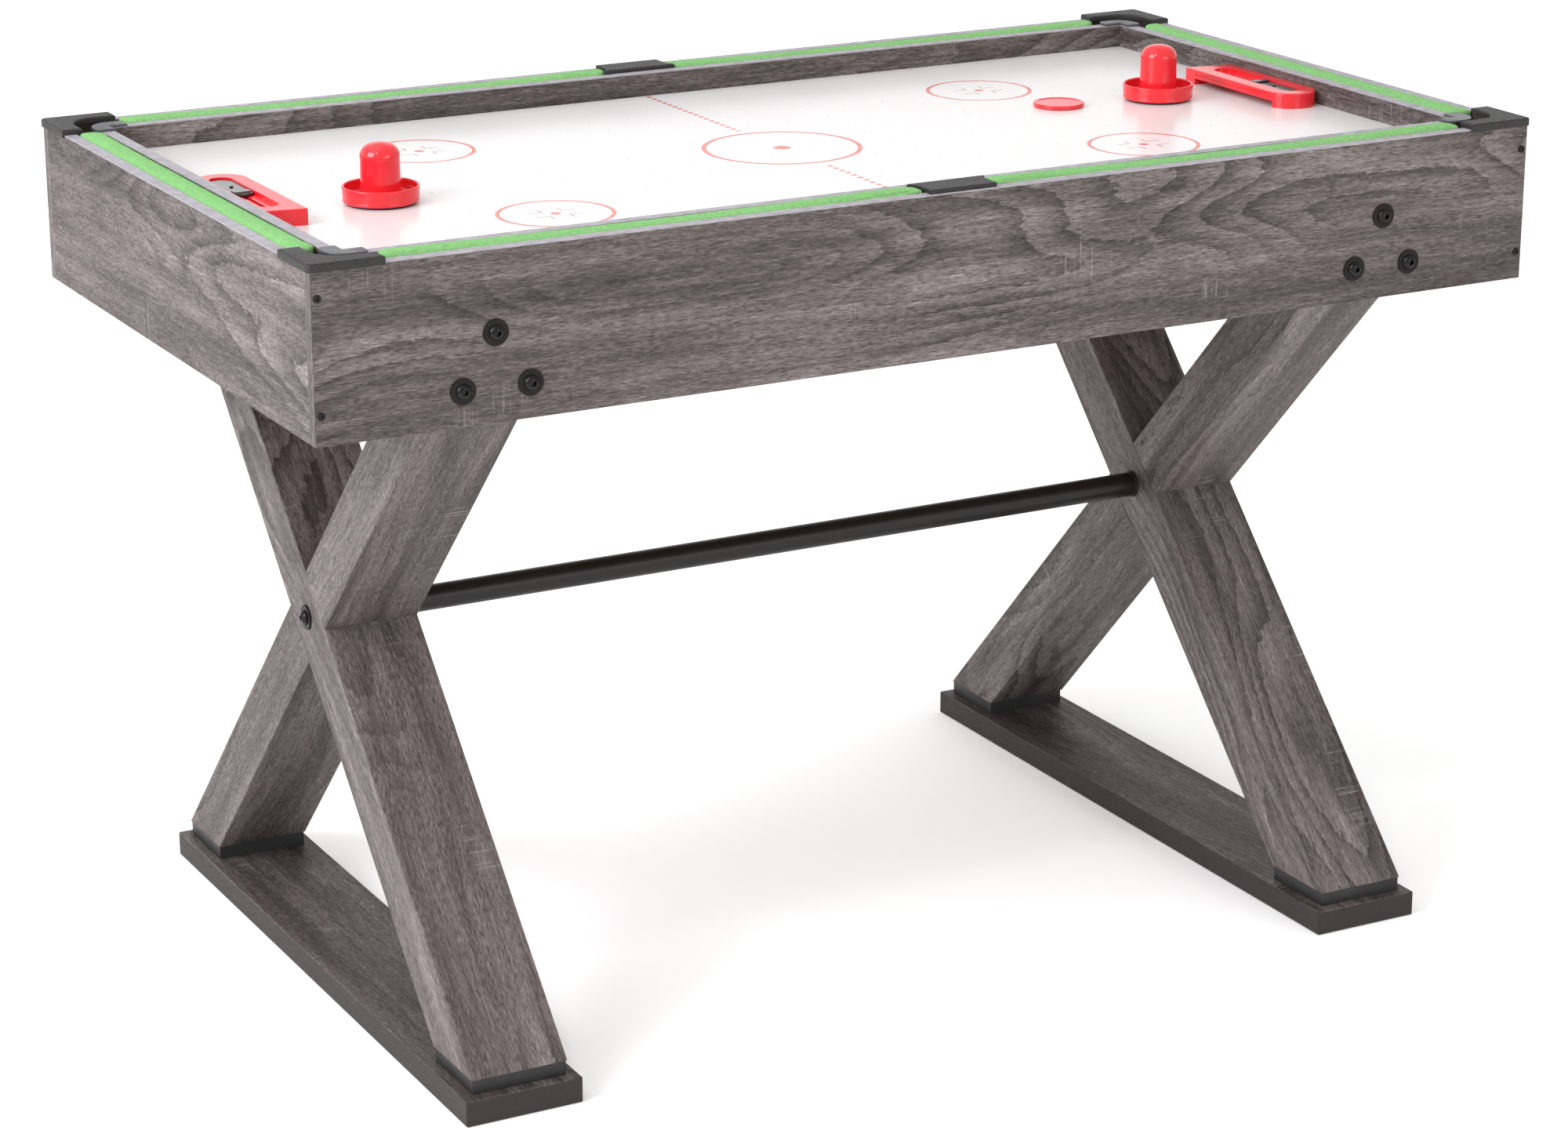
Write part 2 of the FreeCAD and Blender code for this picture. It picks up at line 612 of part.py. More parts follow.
def side_cap(name, end):
    """A flat cap over the middle of a long rail, hollowed to fit the cushions' ends."""
    owner = body(name)
    back = "table_width / 2 - side_cap_back"
    sketch = outline(owner, f"{name}_plan", "XY_Plane",
                     [(f"{side} * side_cap_half", f"{end} * ({y})")
                      for side, y in ((-1, back), (1, back), (1, CUSHION_IN_Y),
                                      (-1, CUSHION_IN_Y))], "top_height")
    pad(owner, f"{name}_pad", sketch, "side_cap_rise")
    dress(owner, "Fillet", f"{name}_corners", upright, "cap_bevel")
    dress(owner, "Fillet", f"{name}_bevel",
          level_at(size("top_height") + size("side_cap_rise")), "cap_bevel")
    low, high = span(end, f"{CUSHION_IN_Y} + tab_clear", f"{CUSHION_OUT_Y} - tab_clear")
    tab = block(f"{name}_tab", ("-tab_half", low, "top_height - side_cap_tab"),
                ("tab_half", high, "top_height"))
    tools = [tool for side in (-1, 1) for tool in cushion_room(name, side, end)]
    return cut(f"{name}_whole", fuse(f"{name}_blank", [owner, tab]), tools)


def cushion_room(name, side, end):
    """What a side cap leaves free for a cushion's end: its round nose and all beyond it."""
    low, tall = "top_height - side_cap_tab", "side_cap_tab + side_cap_rise + over_cut"
    nose_y = f"{CUSHION_IN_Y} + nose_round"
    nose = rod(f"{name}_nose", (f"{side} * (side_stop + nose_round)", f"{end} * ({nose_y})",
                                low), "+Z", "nose_round + cushion_clear", tall)
    left, right = span(side, "side_stop - cushion_clear", "side_stop + nose_round")
    front, rear = span(end, nose_y, "table_width / 2")
    beyond = block(f"{name}_beyond", (left, front, low), (right, rear, f"{low} + {tall}"))
    return [nose, beyond]


def make_caps():
    corners = [corner_cap(f"corner_cap_{end_name}_{side_name}", side, end)
               for end_name, end in ENDS.items() for side_name, side in SIDES.items()]
    node("corner_caps", compound("corner_caps", corners))
    node("side_caps", compound("side_caps", [side_cap(f"side_cap_{name}", end)
                                             for name, end in ENDS.items()]))


# ---------------------------------------------------------------- legs

SLOPE = "tan(leg_angle * 1deg)"
HALF_Y = "leg_thick / 2 / sin(leg_angle * 1deg)"
HALF_Z = "leg_thick / 2 / cos(leg_angle * 1deg)"
PLINTH_TOP = "foot_thick + plinth_tall"


def reach(height):
    """How far the middle line of a leg board stands from the crossing at a height."""
    return f"(({height}) - cross_height) / {SLOPE}"


def leg_holes(label, side, end, low, high):
    """Holes for the threaded inserts at the top, or the foot screws at the bottom."""
    holes = []
    if high:
        for step, height in ((0, "bolt_high"), (-1, "bolt_low"), (1, "bolt_low")):
            start = (f"{side} * leg_x + {step} * bolt_spread", f"{end} * ({INSIDE_Y} + over_cut)",
                     height)
            holes.append(rod(f"{label}_insert", start, "+Y" if end < 0 else "-Y",
                             "insert_radius", "insert_long + over_cut + tip_gap"))
    if low:
        for step in (-1, 1):
            start = (f"{side} * leg_x + {step} * foot_screw_spread",
                     f"{low} * ({reach(PLINTH_TOP)})", f"{PLINTH_TOP} - over_cut")
            holes.append(rod(f"{label}_foot", start, "+Z", "foot_screw_radius + thread_gap",
                             f"foot_screw_long + foot_screw_sink - ({PLINTH_TOP}) + tip_gap"))
    return holes


def dowel(name, side, joint, radius):
    """One dowel across the butt face above (+1) or below (-1) the crossing."""
    rods = []
    for step in (-1, 1):
        thing = doc.addObject("Part::Cylinder", f"{name}_dowel")
        thing.Placement = Placement(Vector(), Rotation(Vector(1, 0, 0), 0))
        back = "dowel_in" if joint > 0 else "dowel_out"
        bind(thing, Radius=radius, Height="dowel_in + dowel_out",
             Placement__Rotation__Angle="leg_angle",
             Placement__Base__x=f"{side} * leg_x + {step} * dowel_spread",
             Placement__Base__y=f"{-joint} * {HALF_Y} / 2 + {back} * sin(leg_angle * 1deg)",
             Placement__Base__z=f"cross_height + {joint} * {HALF_Z} / 2"
                                f" - {back} * cos(leg_angle * 1deg)")
        rods.append(thing)
    return rods


def leg_board(label, side, points, tools):
    """One board of an X leg: its outline in the side view, as wide as the leg."""
    owner = body(f"{label}_board")
    sketch = outline(owner, f"{label}_side", "YZ_Plane", points,
                     f"{side} * leg_x - leg_wide / 2")
    pad(owner, f"{label}_pad", sketch, "leg_wide")
    doc.recompute()
    dress(owner, "Chamfer", f"{label}_edges", lambda edge: edge.Length > 1, "leg_chamfer")
    node(label, cut(label, owner, tools))


def make_leg(side_name, side):
    """The long board runs from the rear at the top to the front at the bottom."""
    low_mid, top_mid = reach(PLINTH_TOP), reach("leg_top")
    tip = f"cross_height + ({INSIDE_Y} - {HALF_Y}) * {SLOPE}"
    name = f"leg_{side_name}"
    centre = rod(f"{name}_centre", (f"{side} * leg_x - leg_wide / 2 - over_cut", "0",
                                    "cross_height"), "+X", "bolt_hole",
                 "leg_wide + 2 * over_cut")
    upper = dowel(f"{name}_upper", side, 1, "dowel_radius")
    lower = dowel(f"{name}_lower", side, -1, "dowel_radius")
    leg_board(f"{name}_long_board", side, [
        (f"{low_mid} - {HALF_Y}", PLINTH_TOP), (f"{low_mid} + {HALF_Y}", PLINTH_TOP),
        (INSIDE_Y, tip), (INSIDE_Y, "leg_top"), (f"{top_mid} - {HALF_Y}", "leg_top")],
        [centre] + upper + lower + leg_holes(f"{name}_long", side, 1, 1, True))
    leg_board(f"{name}_upper_board", side, [
        (f"-{HALF_Y}", "cross_height"), ("0", f"cross_height + {HALF_Z}"),
        (f"{HALF_Y} - ({top_mid})", "leg_top"), (f"-({INSIDE_Y})", "leg_top"),
        (f"-({INSIDE_Y})", tip)],
        dowel(f"{name}_up", side, 1, "dowel_radius")
        + leg_holes(f"{name}_upper", side, -1, 0, True))
    leg_board(f"{name}_lower_board", side, [
        (HALF_Y, "cross_height"), ("0", f"cross_height - {HALF_Z}"),
        (f"-({low_mid}) - {HALF_Y}", PLINTH_TOP), (f"-({low_mid}) + {HALF_Y}", PLINTH_TOP)],
        dowel(f"{name}_down", side, -1, "dowel_radius")
        + leg_holes(f"{name}_lower", side, 1, -1, False))


def make_dowels():
    rods = []
    for side in (-1, 1):
        for joint in (-1, 1):
            rods += dowel("loose", side, joint, "dowel_radius - thread_gap")
    node("leg_dowels", compound("leg_dowels", rods))


def make_feet():
    """Foot boards on the floor, and the dark blocks between them and the legs."""
    blocks = []
    holes = []
    for side_name, side in SIDES.items():
        sinks = []
        for end in (-1, 1):
            middle = f"{-end} * ({reach(PLINTH_TOP)})"
            low = f"{middle} - {HALF_Y} + plinth_inset"
            high = f"{middle} + {HALF_Y} - plinth_inset"
            wide = "leg_wide / 2 - plinth_inset"
            blocks.append(block("plinth", (f"{side} * leg_x - ({wide})", low, "foot_thick"),
                                (f"{side} * leg_x + ({wide})", high, PLINTH_TOP)))
            for step in (-1, 1):
                x = f"{side} * leg_x + {step} * foot_screw_spread"
                holes.append(rod("plinth_hole", (x, middle, "foot_thick - over_cut"), "+Z",
                                 "foot_screw_radius + thread_gap",
                                 "plinth_tall + 2 * over_cut"))
                sinks.append(rod("foot_hole", (x, middle, "-over_cut"), "+Z",
                                 "foot_screw_radius + thread_gap",
                                 "foot_thick + 2 * over_cut"))
                sinks.append(rod("foot_sink", (x, middle, "-over_cut"), "+Z",
                                 "foot_screw_head + head_clear", "foot_screw_sink + over_cut"))
        label = f"foot_{side_name}"
        owner = body(f"{label}_board")
        sketch = outline(owner, f"{label}_plan", "XY_Plane", [
            (f"{side} * leg_x + {x} * foot_wide / 2", f"{y} * foot_long / 2")
            for x, y in ((-1, -1), (1, -1), (1, 1), (-1, 1))])
        pad(owner, f"{label}_pad", sketch, "foot_thick")
        doc.recompute()
        dress(owner, "Chamfer", f"{label}_edges", lambda edge: True, "leg_chamfer")
        node(label, cut(label, owner, sinks))
    node("plinth_blocks", cut("plinth_blocks", compound("plinths", blocks), holes))


def make_foot_screws():
    screw = screw_shape(size("foot_screw_radius"), size("foot_screw_head"),
                        size("foot_screw_sink") * 0.8, size("foot_screw_long"))
    run = (size("cross_height") - size("foot_thick") - size("plinth_tall")) \
        / math.tan(math.radians(size("leg_angle")))
    places = [facing((side * size("leg_x") + step * size("foot_screw_spread"), end * run,
                      size("foot_screw_sink")), "-Z")
              for side in (-1, 1) for end in (-1, 1) for step in (-1, 1)]
    node("foot_screws", copies("foot_screws", screw, places))


def make_stretcher():
    """A round tube between the crossings, with a flanged threaded plug in each end."""
    face = "leg_x - leg_wide / 2"
    tube_end = f"{face} - flange_thick"
    tube = rod("tube_outside", (f"-({tube_end})", "0", "cross_height"), "+X",
               "stretcher_radius", f"2 * ({tube_end})")
    bore = rod("tube_inside", (f"-({tube_end}) - over_cut", "0", "cross_height"), "+X",
               "stretcher_radius - stretcher_wall", f"2 * ({tube_end}) + 2 * over_cut")
    node("stretcher_tube", cut("stretcher_tube", tube, [bore]))
    plugs = []
    for side, way in ((-1, "+X"), (1, "-X")):
        start = (f"{side} * ({face})", "0", "cross_height")
        flange = rod("plug_flange", start, way, "flange_radius", "flange_thick")
        spigot = rod("plug_spigot", start, way,
                     "stretcher_radius - stretcher_wall - thread_gap",
                     "flange_thick + spigot_long")
        thread = rod("plug_thread", (f"{side} * ({face} + over_cut)", "0", "cross_height"), way,
                     "bolt_radius + thread_gap", "spigot_long")
        plugs.append(cut("plug", fuse("plug_body", [flange, spigot]), [thread]))
    node("stretcher_end_plugs", compound("stretcher_end_plugs", plugs))


# ---------------------------------------------------------------- hockey top

FLOOR_LOW = "field_top - field_thick - plenum_tall - floor_thick"
FLOOR_TOP = "field_top - field_thick - plenum_tall"
FIELD_LOW = "field_top - field_thick"
OUT_X, OUT_Y = "hockey_length / 2", "hockey_width / 2"
WALL_X, WALL_Y = "hockey_length / 2 - wall_thick", "hockey_width / 2 - wall_thick"
GOAL_SCREW_HEIGHT = "field_top + goal_screw_rise"
SINK_RADIUS = "screw_head + head_clear"


def wall_screw_spots():
    """Screws up through the floor into the walls: place in plan, and the wall they enter."""
    y = size("hockey_width") / 2 - size("wall_thick") / 2
    x = size("hockey_length") / 2 - size("wall_thick") / 2
    long = [(px, end * y, name) for name, end in ENDS.items() for px in WALL_SCREWS_X]
    return long + [(side * x, py, name) for name, side in SIDES.items()
                   for py in WALL_SCREWS_Y]


def goal_screw_spots():
    """Screws through the end walls into the goals: side, and place across the table."""
    return [(side, side * y) for side in (-1, 1)
            for y in (size("goal_screw_square"), -size("goal_screw_round"))]


def ear_screw_spots():
    """Screws through the ears of the control box, in plan."""
    y = size("box_y") + size("box_deep") / 2
    inset = size("ear_screw_in")
    return [(size("box_x") - inset, y), (size("box_x") + size("box_long") + inset, y)]


def make_hockey_walls():
    """Four walls, each with an edge band along its top."""
    spans = {}
    for name, end in ENDS.items():
        low, high = span(end, WALL_Y, OUT_Y)
        spans[name] = ((f"-({OUT_X})", low), (OUT_X, high))
    for name, side in SIDES.items():
        low, high = span(side, WALL_X, OUT_X)
        spans[name] = ((low, f"-({WALL_Y})"), (high, WALL_Y))
    bands = []
    for name, (low, high) in spans.items():
        label = f"hockey_wall_{name}"
        board = block(f"{label}_board", (*low, FLOOR_TOP), (*high, PANEL_TOP))
        bands.append(block(f"{label}_band", (*low, PANEL_TOP), (*high, "top_height")))
        holes = [rod(f"{label}_pilot", (str(x), str(y), f"{FLOOR_TOP} - over_cut"), "+Z",
                     PILOT, "wall_screw - floor_thick + head_sink + tip_gap")
                 for x, y, wall in wall_screw_spots() if wall == name]
        node(label, cut(label, board, holes + goal_screw_holes(label, SIDES.get(name))))
    node("hockey_edge_bands", compound("hockey_edge_bands", bands))


def goal_screw_holes(label, side):
    """Holes through an end wall for the screws of its goal."""
    holes = []
    way = "+X" if side == -1 else "-X"
    for spot_side, y in goal_screw_spots():
        if spot_side == side:
            start = (f"{side} * ({OUT_X} + over_cut)", str(y), GOAL_SCREW_HEIGHT)
            holes.append(rod(f"{label}_goal", start, way, PILOT, "wall_thick + 2 * over_cut"))
            holes.append(rod(f"{label}_sink", start, way, SINK_RADIUS, "head_sink + over_cut"))
    return holes


def make_plenum():
    """Floor, spacing battens and the perforated playing board, with air between."""
    floor = block("floor_board", (f"-({OUT_X})", f"-({OUT_Y})", FLOOR_LOW),
                  (OUT_X, OUT_Y, FLOOR_TOP))
    below, through = f"{FLOOR_LOW} - over_cut", "floor_thick + 2 * over_cut"
    holes = [rod("floor_duct", ("0", "0", below), "+Z", "fan_bore", through)]
    for x, y, _ in wall_screw_spots():
        start = (str(x), str(y), below)
        holes.append(rod("floor_screw", start, "+Z", PILOT, through))
        holes.append(rod("floor_sink", start, "+Z", SINK_RADIUS, "head_sink + over_cut"))
    holes += [rod("floor_fan", (f"{sx} * fan_pitch", f"{sy} * fan_pitch", below), "+Z", PILOT,
                  through) for sx in (-1, 1) for sy in (-1, 1)]
    holes += [rod("floor_ear", (str(x), str(y), below), "+Z", PILOT, through)
              for x, y in ear_screw_spots()]
    node("plenum_floor", cut("plenum_floor", floor, holes))
    make_field_battens()
    make_playfield()


def make_field_battens():
    """A frame of battens round the air chamber and two braces across its middle."""
    in_x, in_y = f"{WALL_X} - batten_wide", f"{WALL_Y} - batten_wide"
    brace = f"{in_x} - brace_gap"
    spans = [((f"-({WALL_X})", f"-({WALL_Y})"), (WALL_X, f"-({in_y})")),
             ((f"-({WALL_X})", in_y), (WALL_X, WALL_Y)),
             ((f"-({WALL_X})", f"-({in_y})"), (f"-({in_x})", in_y)),
             ((in_x, f"-({in_y})"), (WALL_X, in_y)),
             ((f"-({brace})", "-brace_y"), (brace, "batten_wide - brace_y")),
             ((f"-({brace})", "brace_y - batten_wide"), (brace, "brace_y"))]
    node("playfield_battens", compound("playfield_battens", [
        block("field_batten", (*low, FLOOR_TOP), (*high, FIELD_LOW)) for low, high in spans]))


def make_playfield():
    """The board is one face with a grid of air holes in it, thickened."""
    half_x = size("hockey_length") / 2 - size("wall_thick") - size("field_clear")
    half_y = size("hockey_width") / 2 - size("wall_thick") - size("field_clear")
    low = size("field_top") - size("field_thick")
    corners = [Vector(-half_x, -half_y, low), Vector(half_x, -half_y, low),
               Vector(half_x, half_y, low), Vector(-half_x, half_y, low)]
    face = Part.Face(Part.makePolygon(corners + corners[:1]))
    pitch = size("hole_pitch")
    across = int((half_x - pitch / 2) // pitch)
    along = int((half_y - pitch / 2) // pitch)
    rounds = [Part.Wire(Part.makeCircle(size("hole_radius"),
                                        Vector((i + 0.5) * pitch, (j + 0.5) * pitch, low)))
              for i in range(-across - 1, across + 1) for j in range(-along - 1, along + 1)]
    face = Part.Face([face.OuterWire] + rounds)
    face.validate()
    node("playfield", made("playfield", face.extrude(Vector(0, 0, size("field_thick")))))


def make_corner_trims():
    """Thin rounded plates on the corners of the hockey top."""
    plates = []
    plan = [("trim_arm_x", f"{OUT_Y} + trim_over"),
            (f"{OUT_X} + trim_over", f"{OUT_Y} + trim_over"),
            (f"{OUT_X} + trim_over", "trim_arm_y"), (f"{WALL_X} - trim_lap", "trim_arm_y"),
            (f"{WALL_X} - trim_lap", f"{WALL_Y} - trim_lap"),
            ("trim_arm_x", f"{WALL_Y} - trim_lap")]
    for end_name, end in ENDS.items():
        for side_name, side in SIDES.items():
            name = f"trim_{end_name}_{side_name}"
            owner = body(name)
            sketch = outline(owner, f"{name}_plan", "XY_Plane",
                             [(f"{side} * ({x})", f"{end} * ({y})") for x, y in plan],
                             "top_height")
            pad(owner, f"{name}_pad", sketch, "trim_thick")
            x = size("hockey_length") / 2 + size("trim_over")
            y = size("hockey_width") / 2 + size("trim_over")
            dress(owner, "Fillet", f"{name}_round", upright_at(side * x, end * y),
                  "trim_round")
            tips = [(size("trim_arm_x"), y), (x, size("trim_arm_y"))]
            for number, (tip_x, tip_y) in enumerate(tips):
                dress(owner, "Fillet", f"{name}_tip{number}",
                      upright_at(side * tip_x, end * tip_y), "trim_tip")
            dress(owner, "Fillet", f"{name}_edge",
                  level_at(size("top_height") + size("trim_thick")), "trim_edge")
            plates.append(owner)
    node("hockey_corner_trims", compound("hockey_corner_trims", plates))


def screws(length, places):
    """Screws of the hockey top's one gauge, at one length."""
    pattern = screw_shape(size("screw_radius"), size("screw_head"), size("screw_dome"), length)
    solids = []
    for place in places:
        solids.append(pattern.copy())
        solids[-1].Placement = place
    return solids


def make_hockey_screws():
    floor_low = ledge_top_number() + size("rest_gap")
    sink, guard, pitch = size("head_sink"), size("guard_thick"), size("fan_pitch")
    outer = size("hockey_length") / 2 - sink
    height = size("field_top") + size("goal_screw_rise")
    solids = screws(size("wall_screw"), [facing((x, y, floor_low + sink), "-Z")
                                         for x, y, _ in wall_screw_spots()])
    solids += screws(size("goal_screw"), [
        facing((side * outer, y, height), "-X" if side < 0 else "+X")
        for side, y in goal_screw_spots()])
    solids += screws(size("fan_screw") + guard, [
        facing((sx * pitch, sy * pitch, floor_low - size("fan_tall") - guard), "-Z")
        for sx in (-1, 1) for sy in (-1, 1)])
    solids += screws(size("ear_screw"), [facing((x, y, floor_low - size("box_wall")), "-Z")
                                         for x, y in ear_screw_spots()])
    node("hockey_screws", made("hockey_screws", Part.makeCompound(solids)))


# ---------------------------------------------------------------- goals and sliders

def make_goal(name, side):
    """A low bridge against the end wall, square at one end and round at the other."""
    label = f"goal_{name}"
    back, front = WALL_X, f"{WALL_X} - goal_deep"
    plan = [(back, "goal_back_half"), (front, "goal_front_half"),
            (front, "-goal_round_half"), (back, "-goal_round_half")]
    owner = body(f"{label}_body")
    sketch = outline(owner, f"{label}_plan", "XY_Plane",
                     [(f"{side} * ({x})", f"{side} * {y}") for x, y in plan], "field_top")
    pad(owner, f"{label}_pad", sketch, "goal_tall")
    wall = size("hockey_length") / 2 - size("wall_thick")
    face = wall - size("goal_deep")
    top = size("field_top") + size("goal_tall")
    for x in (wall, face):
        dress(owner, "Fillet", f"{label}_round", upright_at(
            side * x, -side * size("goal_round_half")), "goal_round")
    dress(owner, "Fillet", f"{label}_corner", upright_at(
        side * face, side * size("goal_front_half")), "goal_corner")
    dress(owner, "Fillet", f"{label}_rim",
          lambda edge: level_at(top)(edge)
          and not all(abs(v.X) > wall - 1e-6 for v in edge.Vertexes), "goal_rim")
    low, high = span(side, f"{front} - over_cut", f"{back} + over_cut")
    near, far = span(side, "-mouth_round", "mouth_square")
    mouth = block(f"{label}_mouth", (low, near, "field_top - over_cut"),
                  (high, far, "field_top + mouth_tall"))
    lip, inside = span(side, f"{front} - over_cut", f"{front} + groove_deep")
    shelf = "field_top + goal_tall - slot_deep"
    groove = block(f"{label}_groove", (lip, near, f"{shelf} - groove_tall"),
                   (inside, far, shelf))
    way = "+X" if side < 0 else "-X"
    pilots = [rod(f"{label}_screw", (f"{side} * ({back} + over_cut)", str(y),
                                     GOAL_SCREW_HEIGHT), way, PILOT,
                  "goal_screw - wall_thick + head_sink + tip_gap")
              for spot_side, y in goal_screw_spots() if spot_side == side]
    node(label, cut(label, owner, [mouth, groove] + slot_tools(label, side) + pilots))


def slot_tools(label, side):
    """The long rounded slot on a goal, and the narrow keyway through its floor."""
    floor = "field_top + goal_tall - slot_deep"
    straight = "slot_half - slot_round"
    tools = [block(f"{label}_slot", (f"{side} * slot_x - slot_round", f"-({straight})", floor),
                   (f"{side} * slot_x + slot_round", straight,
                    "field_top + goal_tall + over_cut"))]
    for end in (-1, 1):
        tools.append(rod(f"{label}_slot_end", (f"{side} * slot_x", f"{end} * ({straight})",
                                               floor), "+Z", "slot_round",
                         "slot_deep + over_cut"))
    tools.append(block(f"{label}_keyway",
                       (f"{side} * slot_x - key_half - slider_clear", "-key_reach",
                        "field_top"),
                       (f"{side} * slot_x + key_half + slider_clear", "key_reach",
                        "field_top + goal_tall")))
    return tools


def make_slider(name, side):
    """A score slider: rounded plate with a grip, a stop block and a key below."""
    label = f"score_slider_{name}"
    rest = f"{-side} * slider_rest"
    floor = "field_top + goal_tall - slot_deep + slider_clear"
    wide = "slot_round - slider_clear"
    straight = f"slider_half - ({wide})"
    x = f"{side} * slot_x"
    plate = block(f"{label}_plate", (f"{x} - ({wide})", f"{rest} - ({straight})", floor),
                  (f"{x} + ({wide})", f"{rest} + ({straight})", f"{floor} + slider_thick"))
    ends = [rod(f"{label}_end", (x, f"{rest} + {end} * ({straight})", floor), "+Z", wide,
                "slider_thick") for end in (-1, 1)]
    grip = rod(f"{label}_grip", (x, rest, floor), "+Z", "grip_radius",
               "slider_thick + grip_rise")
    stop_y = f"{rest} + {side} * ({straight})"
    stop = block(f"{label}_stop", (f"{x} - ({wide}) + stop_inset", f"{stop_y} - stop_half",
                                   floor),
                 (f"{x} + ({wide}) - stop_inset", f"{stop_y} + stop_half",
                  f"{floor} + slider_thick + stop_rise"))
    key = block(f"{label}_key", (f"{x} - key_half", f"{rest} - slider_half + key_short",
                                 "field_top + mouth_tall + slider_clear"),
                (f"{x} + key_half", f"{rest} + slider_half - key_short",
                 f"{floor} + key_lap"))
    node(label, fuse(label, [plate, *ends, grip, stop, key]))


# ---------------------------------------------------------------- strikers and puck

def turned(profile, place):
    """A solid turned about an upright axis from points and arcs of (radius, height)."""
    parts = []
    for start, middle, end in profile:
        a, b = Vector(start[0], 0, start[1]), Vector(end[0], 0, end[1])
        if middle:
            parts.append(Part.Arc(a, Vector(middle[0], 0, middle[1]), b).toShape())
        else:
            parts.append(Part.LineSegment(a, b).toShape())
    solid = Part.Face(Part.Wire(parts)).revolve(Vector(), Vector(0, 0, 1), 360)
    solid.translate(Vector(place[0], place[1], 0))
    return solid


def chain(points):
    """Steps from point to point; a point with four numbers ends an arc through its first two."""
    steps = []
    last = points[-1][-2:]
    for point in points:
        steps.append((last, point[:2] if len(point) == 4 else None, point[-2:]))
        last = point[-2:]
    return steps


def dome(radius, tall, shoulder):
    """A broad dome's profile: its crown's edge, and points on the arcs below and above it."""
    edge, sag = radius * 0.57, tall * 0.12
    ball = (edge ** 2 + sag ** 2) / (2 * sag)
    half = math.asin(edge / ball) / 2
    top = shoulder + tall
    flank = (radius * 0.90, shoulder + tall * 0.56)
    crown = (ball * math.sin(half), top - ball * (1 - math.cos(half)))
    return flank, (edge, top - sag), crown


def striker_shape(place):
    """A cup-rimmed striker: deep round well, domed hollow knob in the middle."""
    low = size("field_top") + size("glide_gap") + size("felt_thick")
    outer, wall = size("striker_radius"), size("shell_wall")
    rim = size("field_top") + size("striker_rim")
    knob, foot, tall = size("knob_radius"), size("knob_foot"), size("dome_tall")
    shoulder = size("field_top") + size("striker_tall") - tall
    floor = low + wall * 1.5
    skirt, turn_in, well, blend = wall * 1.25, wall / 4, outer - wall, wall * 0.75
    flank, edge, crown = dome(knob, tall, shoulder)
    flank_in, edge_in, crown_in = dome(knob - wall, tall - wall, shoulder)
    points = [
        (foot - wall, low), (outer - skirt, low),
        (outer - skirt / 3, low + turn_in, outer - turn_in, low + skirt),
        (outer, rim - wall / 2), (outer - wall / 2, rim, outer - wall, rim - wall / 2),
        (well - turn_in, floor + skirt), (well - blend, floor + turn_in, well - skirt, floor),
        (foot + skirt, floor), (foot + blend, floor + turn_in, foot, floor + blend),
        (knob, shoulder), (*flank, *edge), (*crown, 0, shoulder + tall),
        (0, shoulder + tall - wall), (*crown_in, *edge_in), (*flank_in, knob - wall, shoulder),
    ]
    return turned(chain(points), place)


def make_strikers():
    for name, place in STRIKER_PLACES.items():
        node(f"pusher_{name}", made(f"pusher_{name}", striker_shape(place)))
        low = size("field_top") + size("glide_gap")
        felt = ring_solid(size("striker_radius") - size("felt_inset"), size("knob_foot"),
                          size("felt_thick"))
        felt.translate(Vector(place[0], place[1], low))
        node(f"pusher_felt_{name}", made(f"pusher_felt_{name}", felt))


def make_puck():
    """A disc with rounded rims and a shallow dish in each face."""
    low = size("field_top") + size("glide_gap")
    radius, thick = size("puck_radius"), size("puck_thick")
    high = low + thick
    dish, sunk, bevel, edge = radius * 0.82, thick / 7, thick / 5, thick / 4
    soft = edge * 0.3
    points = [(0, low + sunk), (dish, low + sunk), (dish + bevel, low), (radius - edge, low),
              (radius - soft, low + soft, radius, low + edge), (radius, high - edge),
              (radius - soft, high - soft, radius - edge, high), (dish + bevel, high),
              (dish, high - sunk), (0, high - sunk)]
    node("puck", made("puck", turned(chain(points), PUCK_PLACE)))


# ---------------------------------------------------------------- blower


def fan_low():
    return ledge_top_number() + size("rest_gap") - size("fan_tall")


def make_fan_frame():
    """Square housing with a round duct; struts carry the motor at the bottom."""
    owner = body("fan_frame_body")
    sketch = outline(owner, "fan_plan", "XY_Plane",
                     [(f"{x} * fan_side / 2", f"{y} * fan_side / 2")
                      for x, y in ((-1, -1), (1, -1), (1, 1), (-1, 1))],
                     f"{FLOOR_LOW} - fan_tall")
    pad(owner, "fan_pad", sketch, "fan_tall")
    doc.recompute()
    dress(owner, "Fillet", "fan_corners", upright, "fan_corner")
    low = f"{FLOOR_LOW} - fan_tall"
    below, through = f"{low} - over_cut", "fan_tall + 2 * over_cut"
    duct = rod("fan_duct", ("0", "0", below), "+Z", "fan_bore", through)
    holes = [rod("fan_hole", (f"{x} * fan_pitch", f"{y} * fan_pitch", below), "+Z",
                 "screw_radius + head_clear", through) for x in (-1, 1) for y in (-1, 1)]
    shell = cut("fan_shell", owner, [duct] + holes)
    seat = rod("fan_seat", ("0", "0", low), "+Z", "rotor_cup", "strut_tall")
    struts = []
    for angle in STRUT_TURNS:
        strut = block("fan_strut", ("0", "-strut_wide / 2", low),
                      ("fan_bore + fan_lap", "strut_wide / 2", f"{low} + strut_tall"))
        turn = Rotation(Vector(0, 0, 1), angle)
        strut.Placement = Placement(Vector(), turn)
        centre = turn.multVec(Vector(0, -size("strut_wide") / 2, 0))
        bind(strut, Placement__Base__x=str(centre.x), Placement__Base__y=str(centre.y))
        struts.append(strut)
    node("fan_frame", fuse("fan_frame", [shell, seat, *struts]))


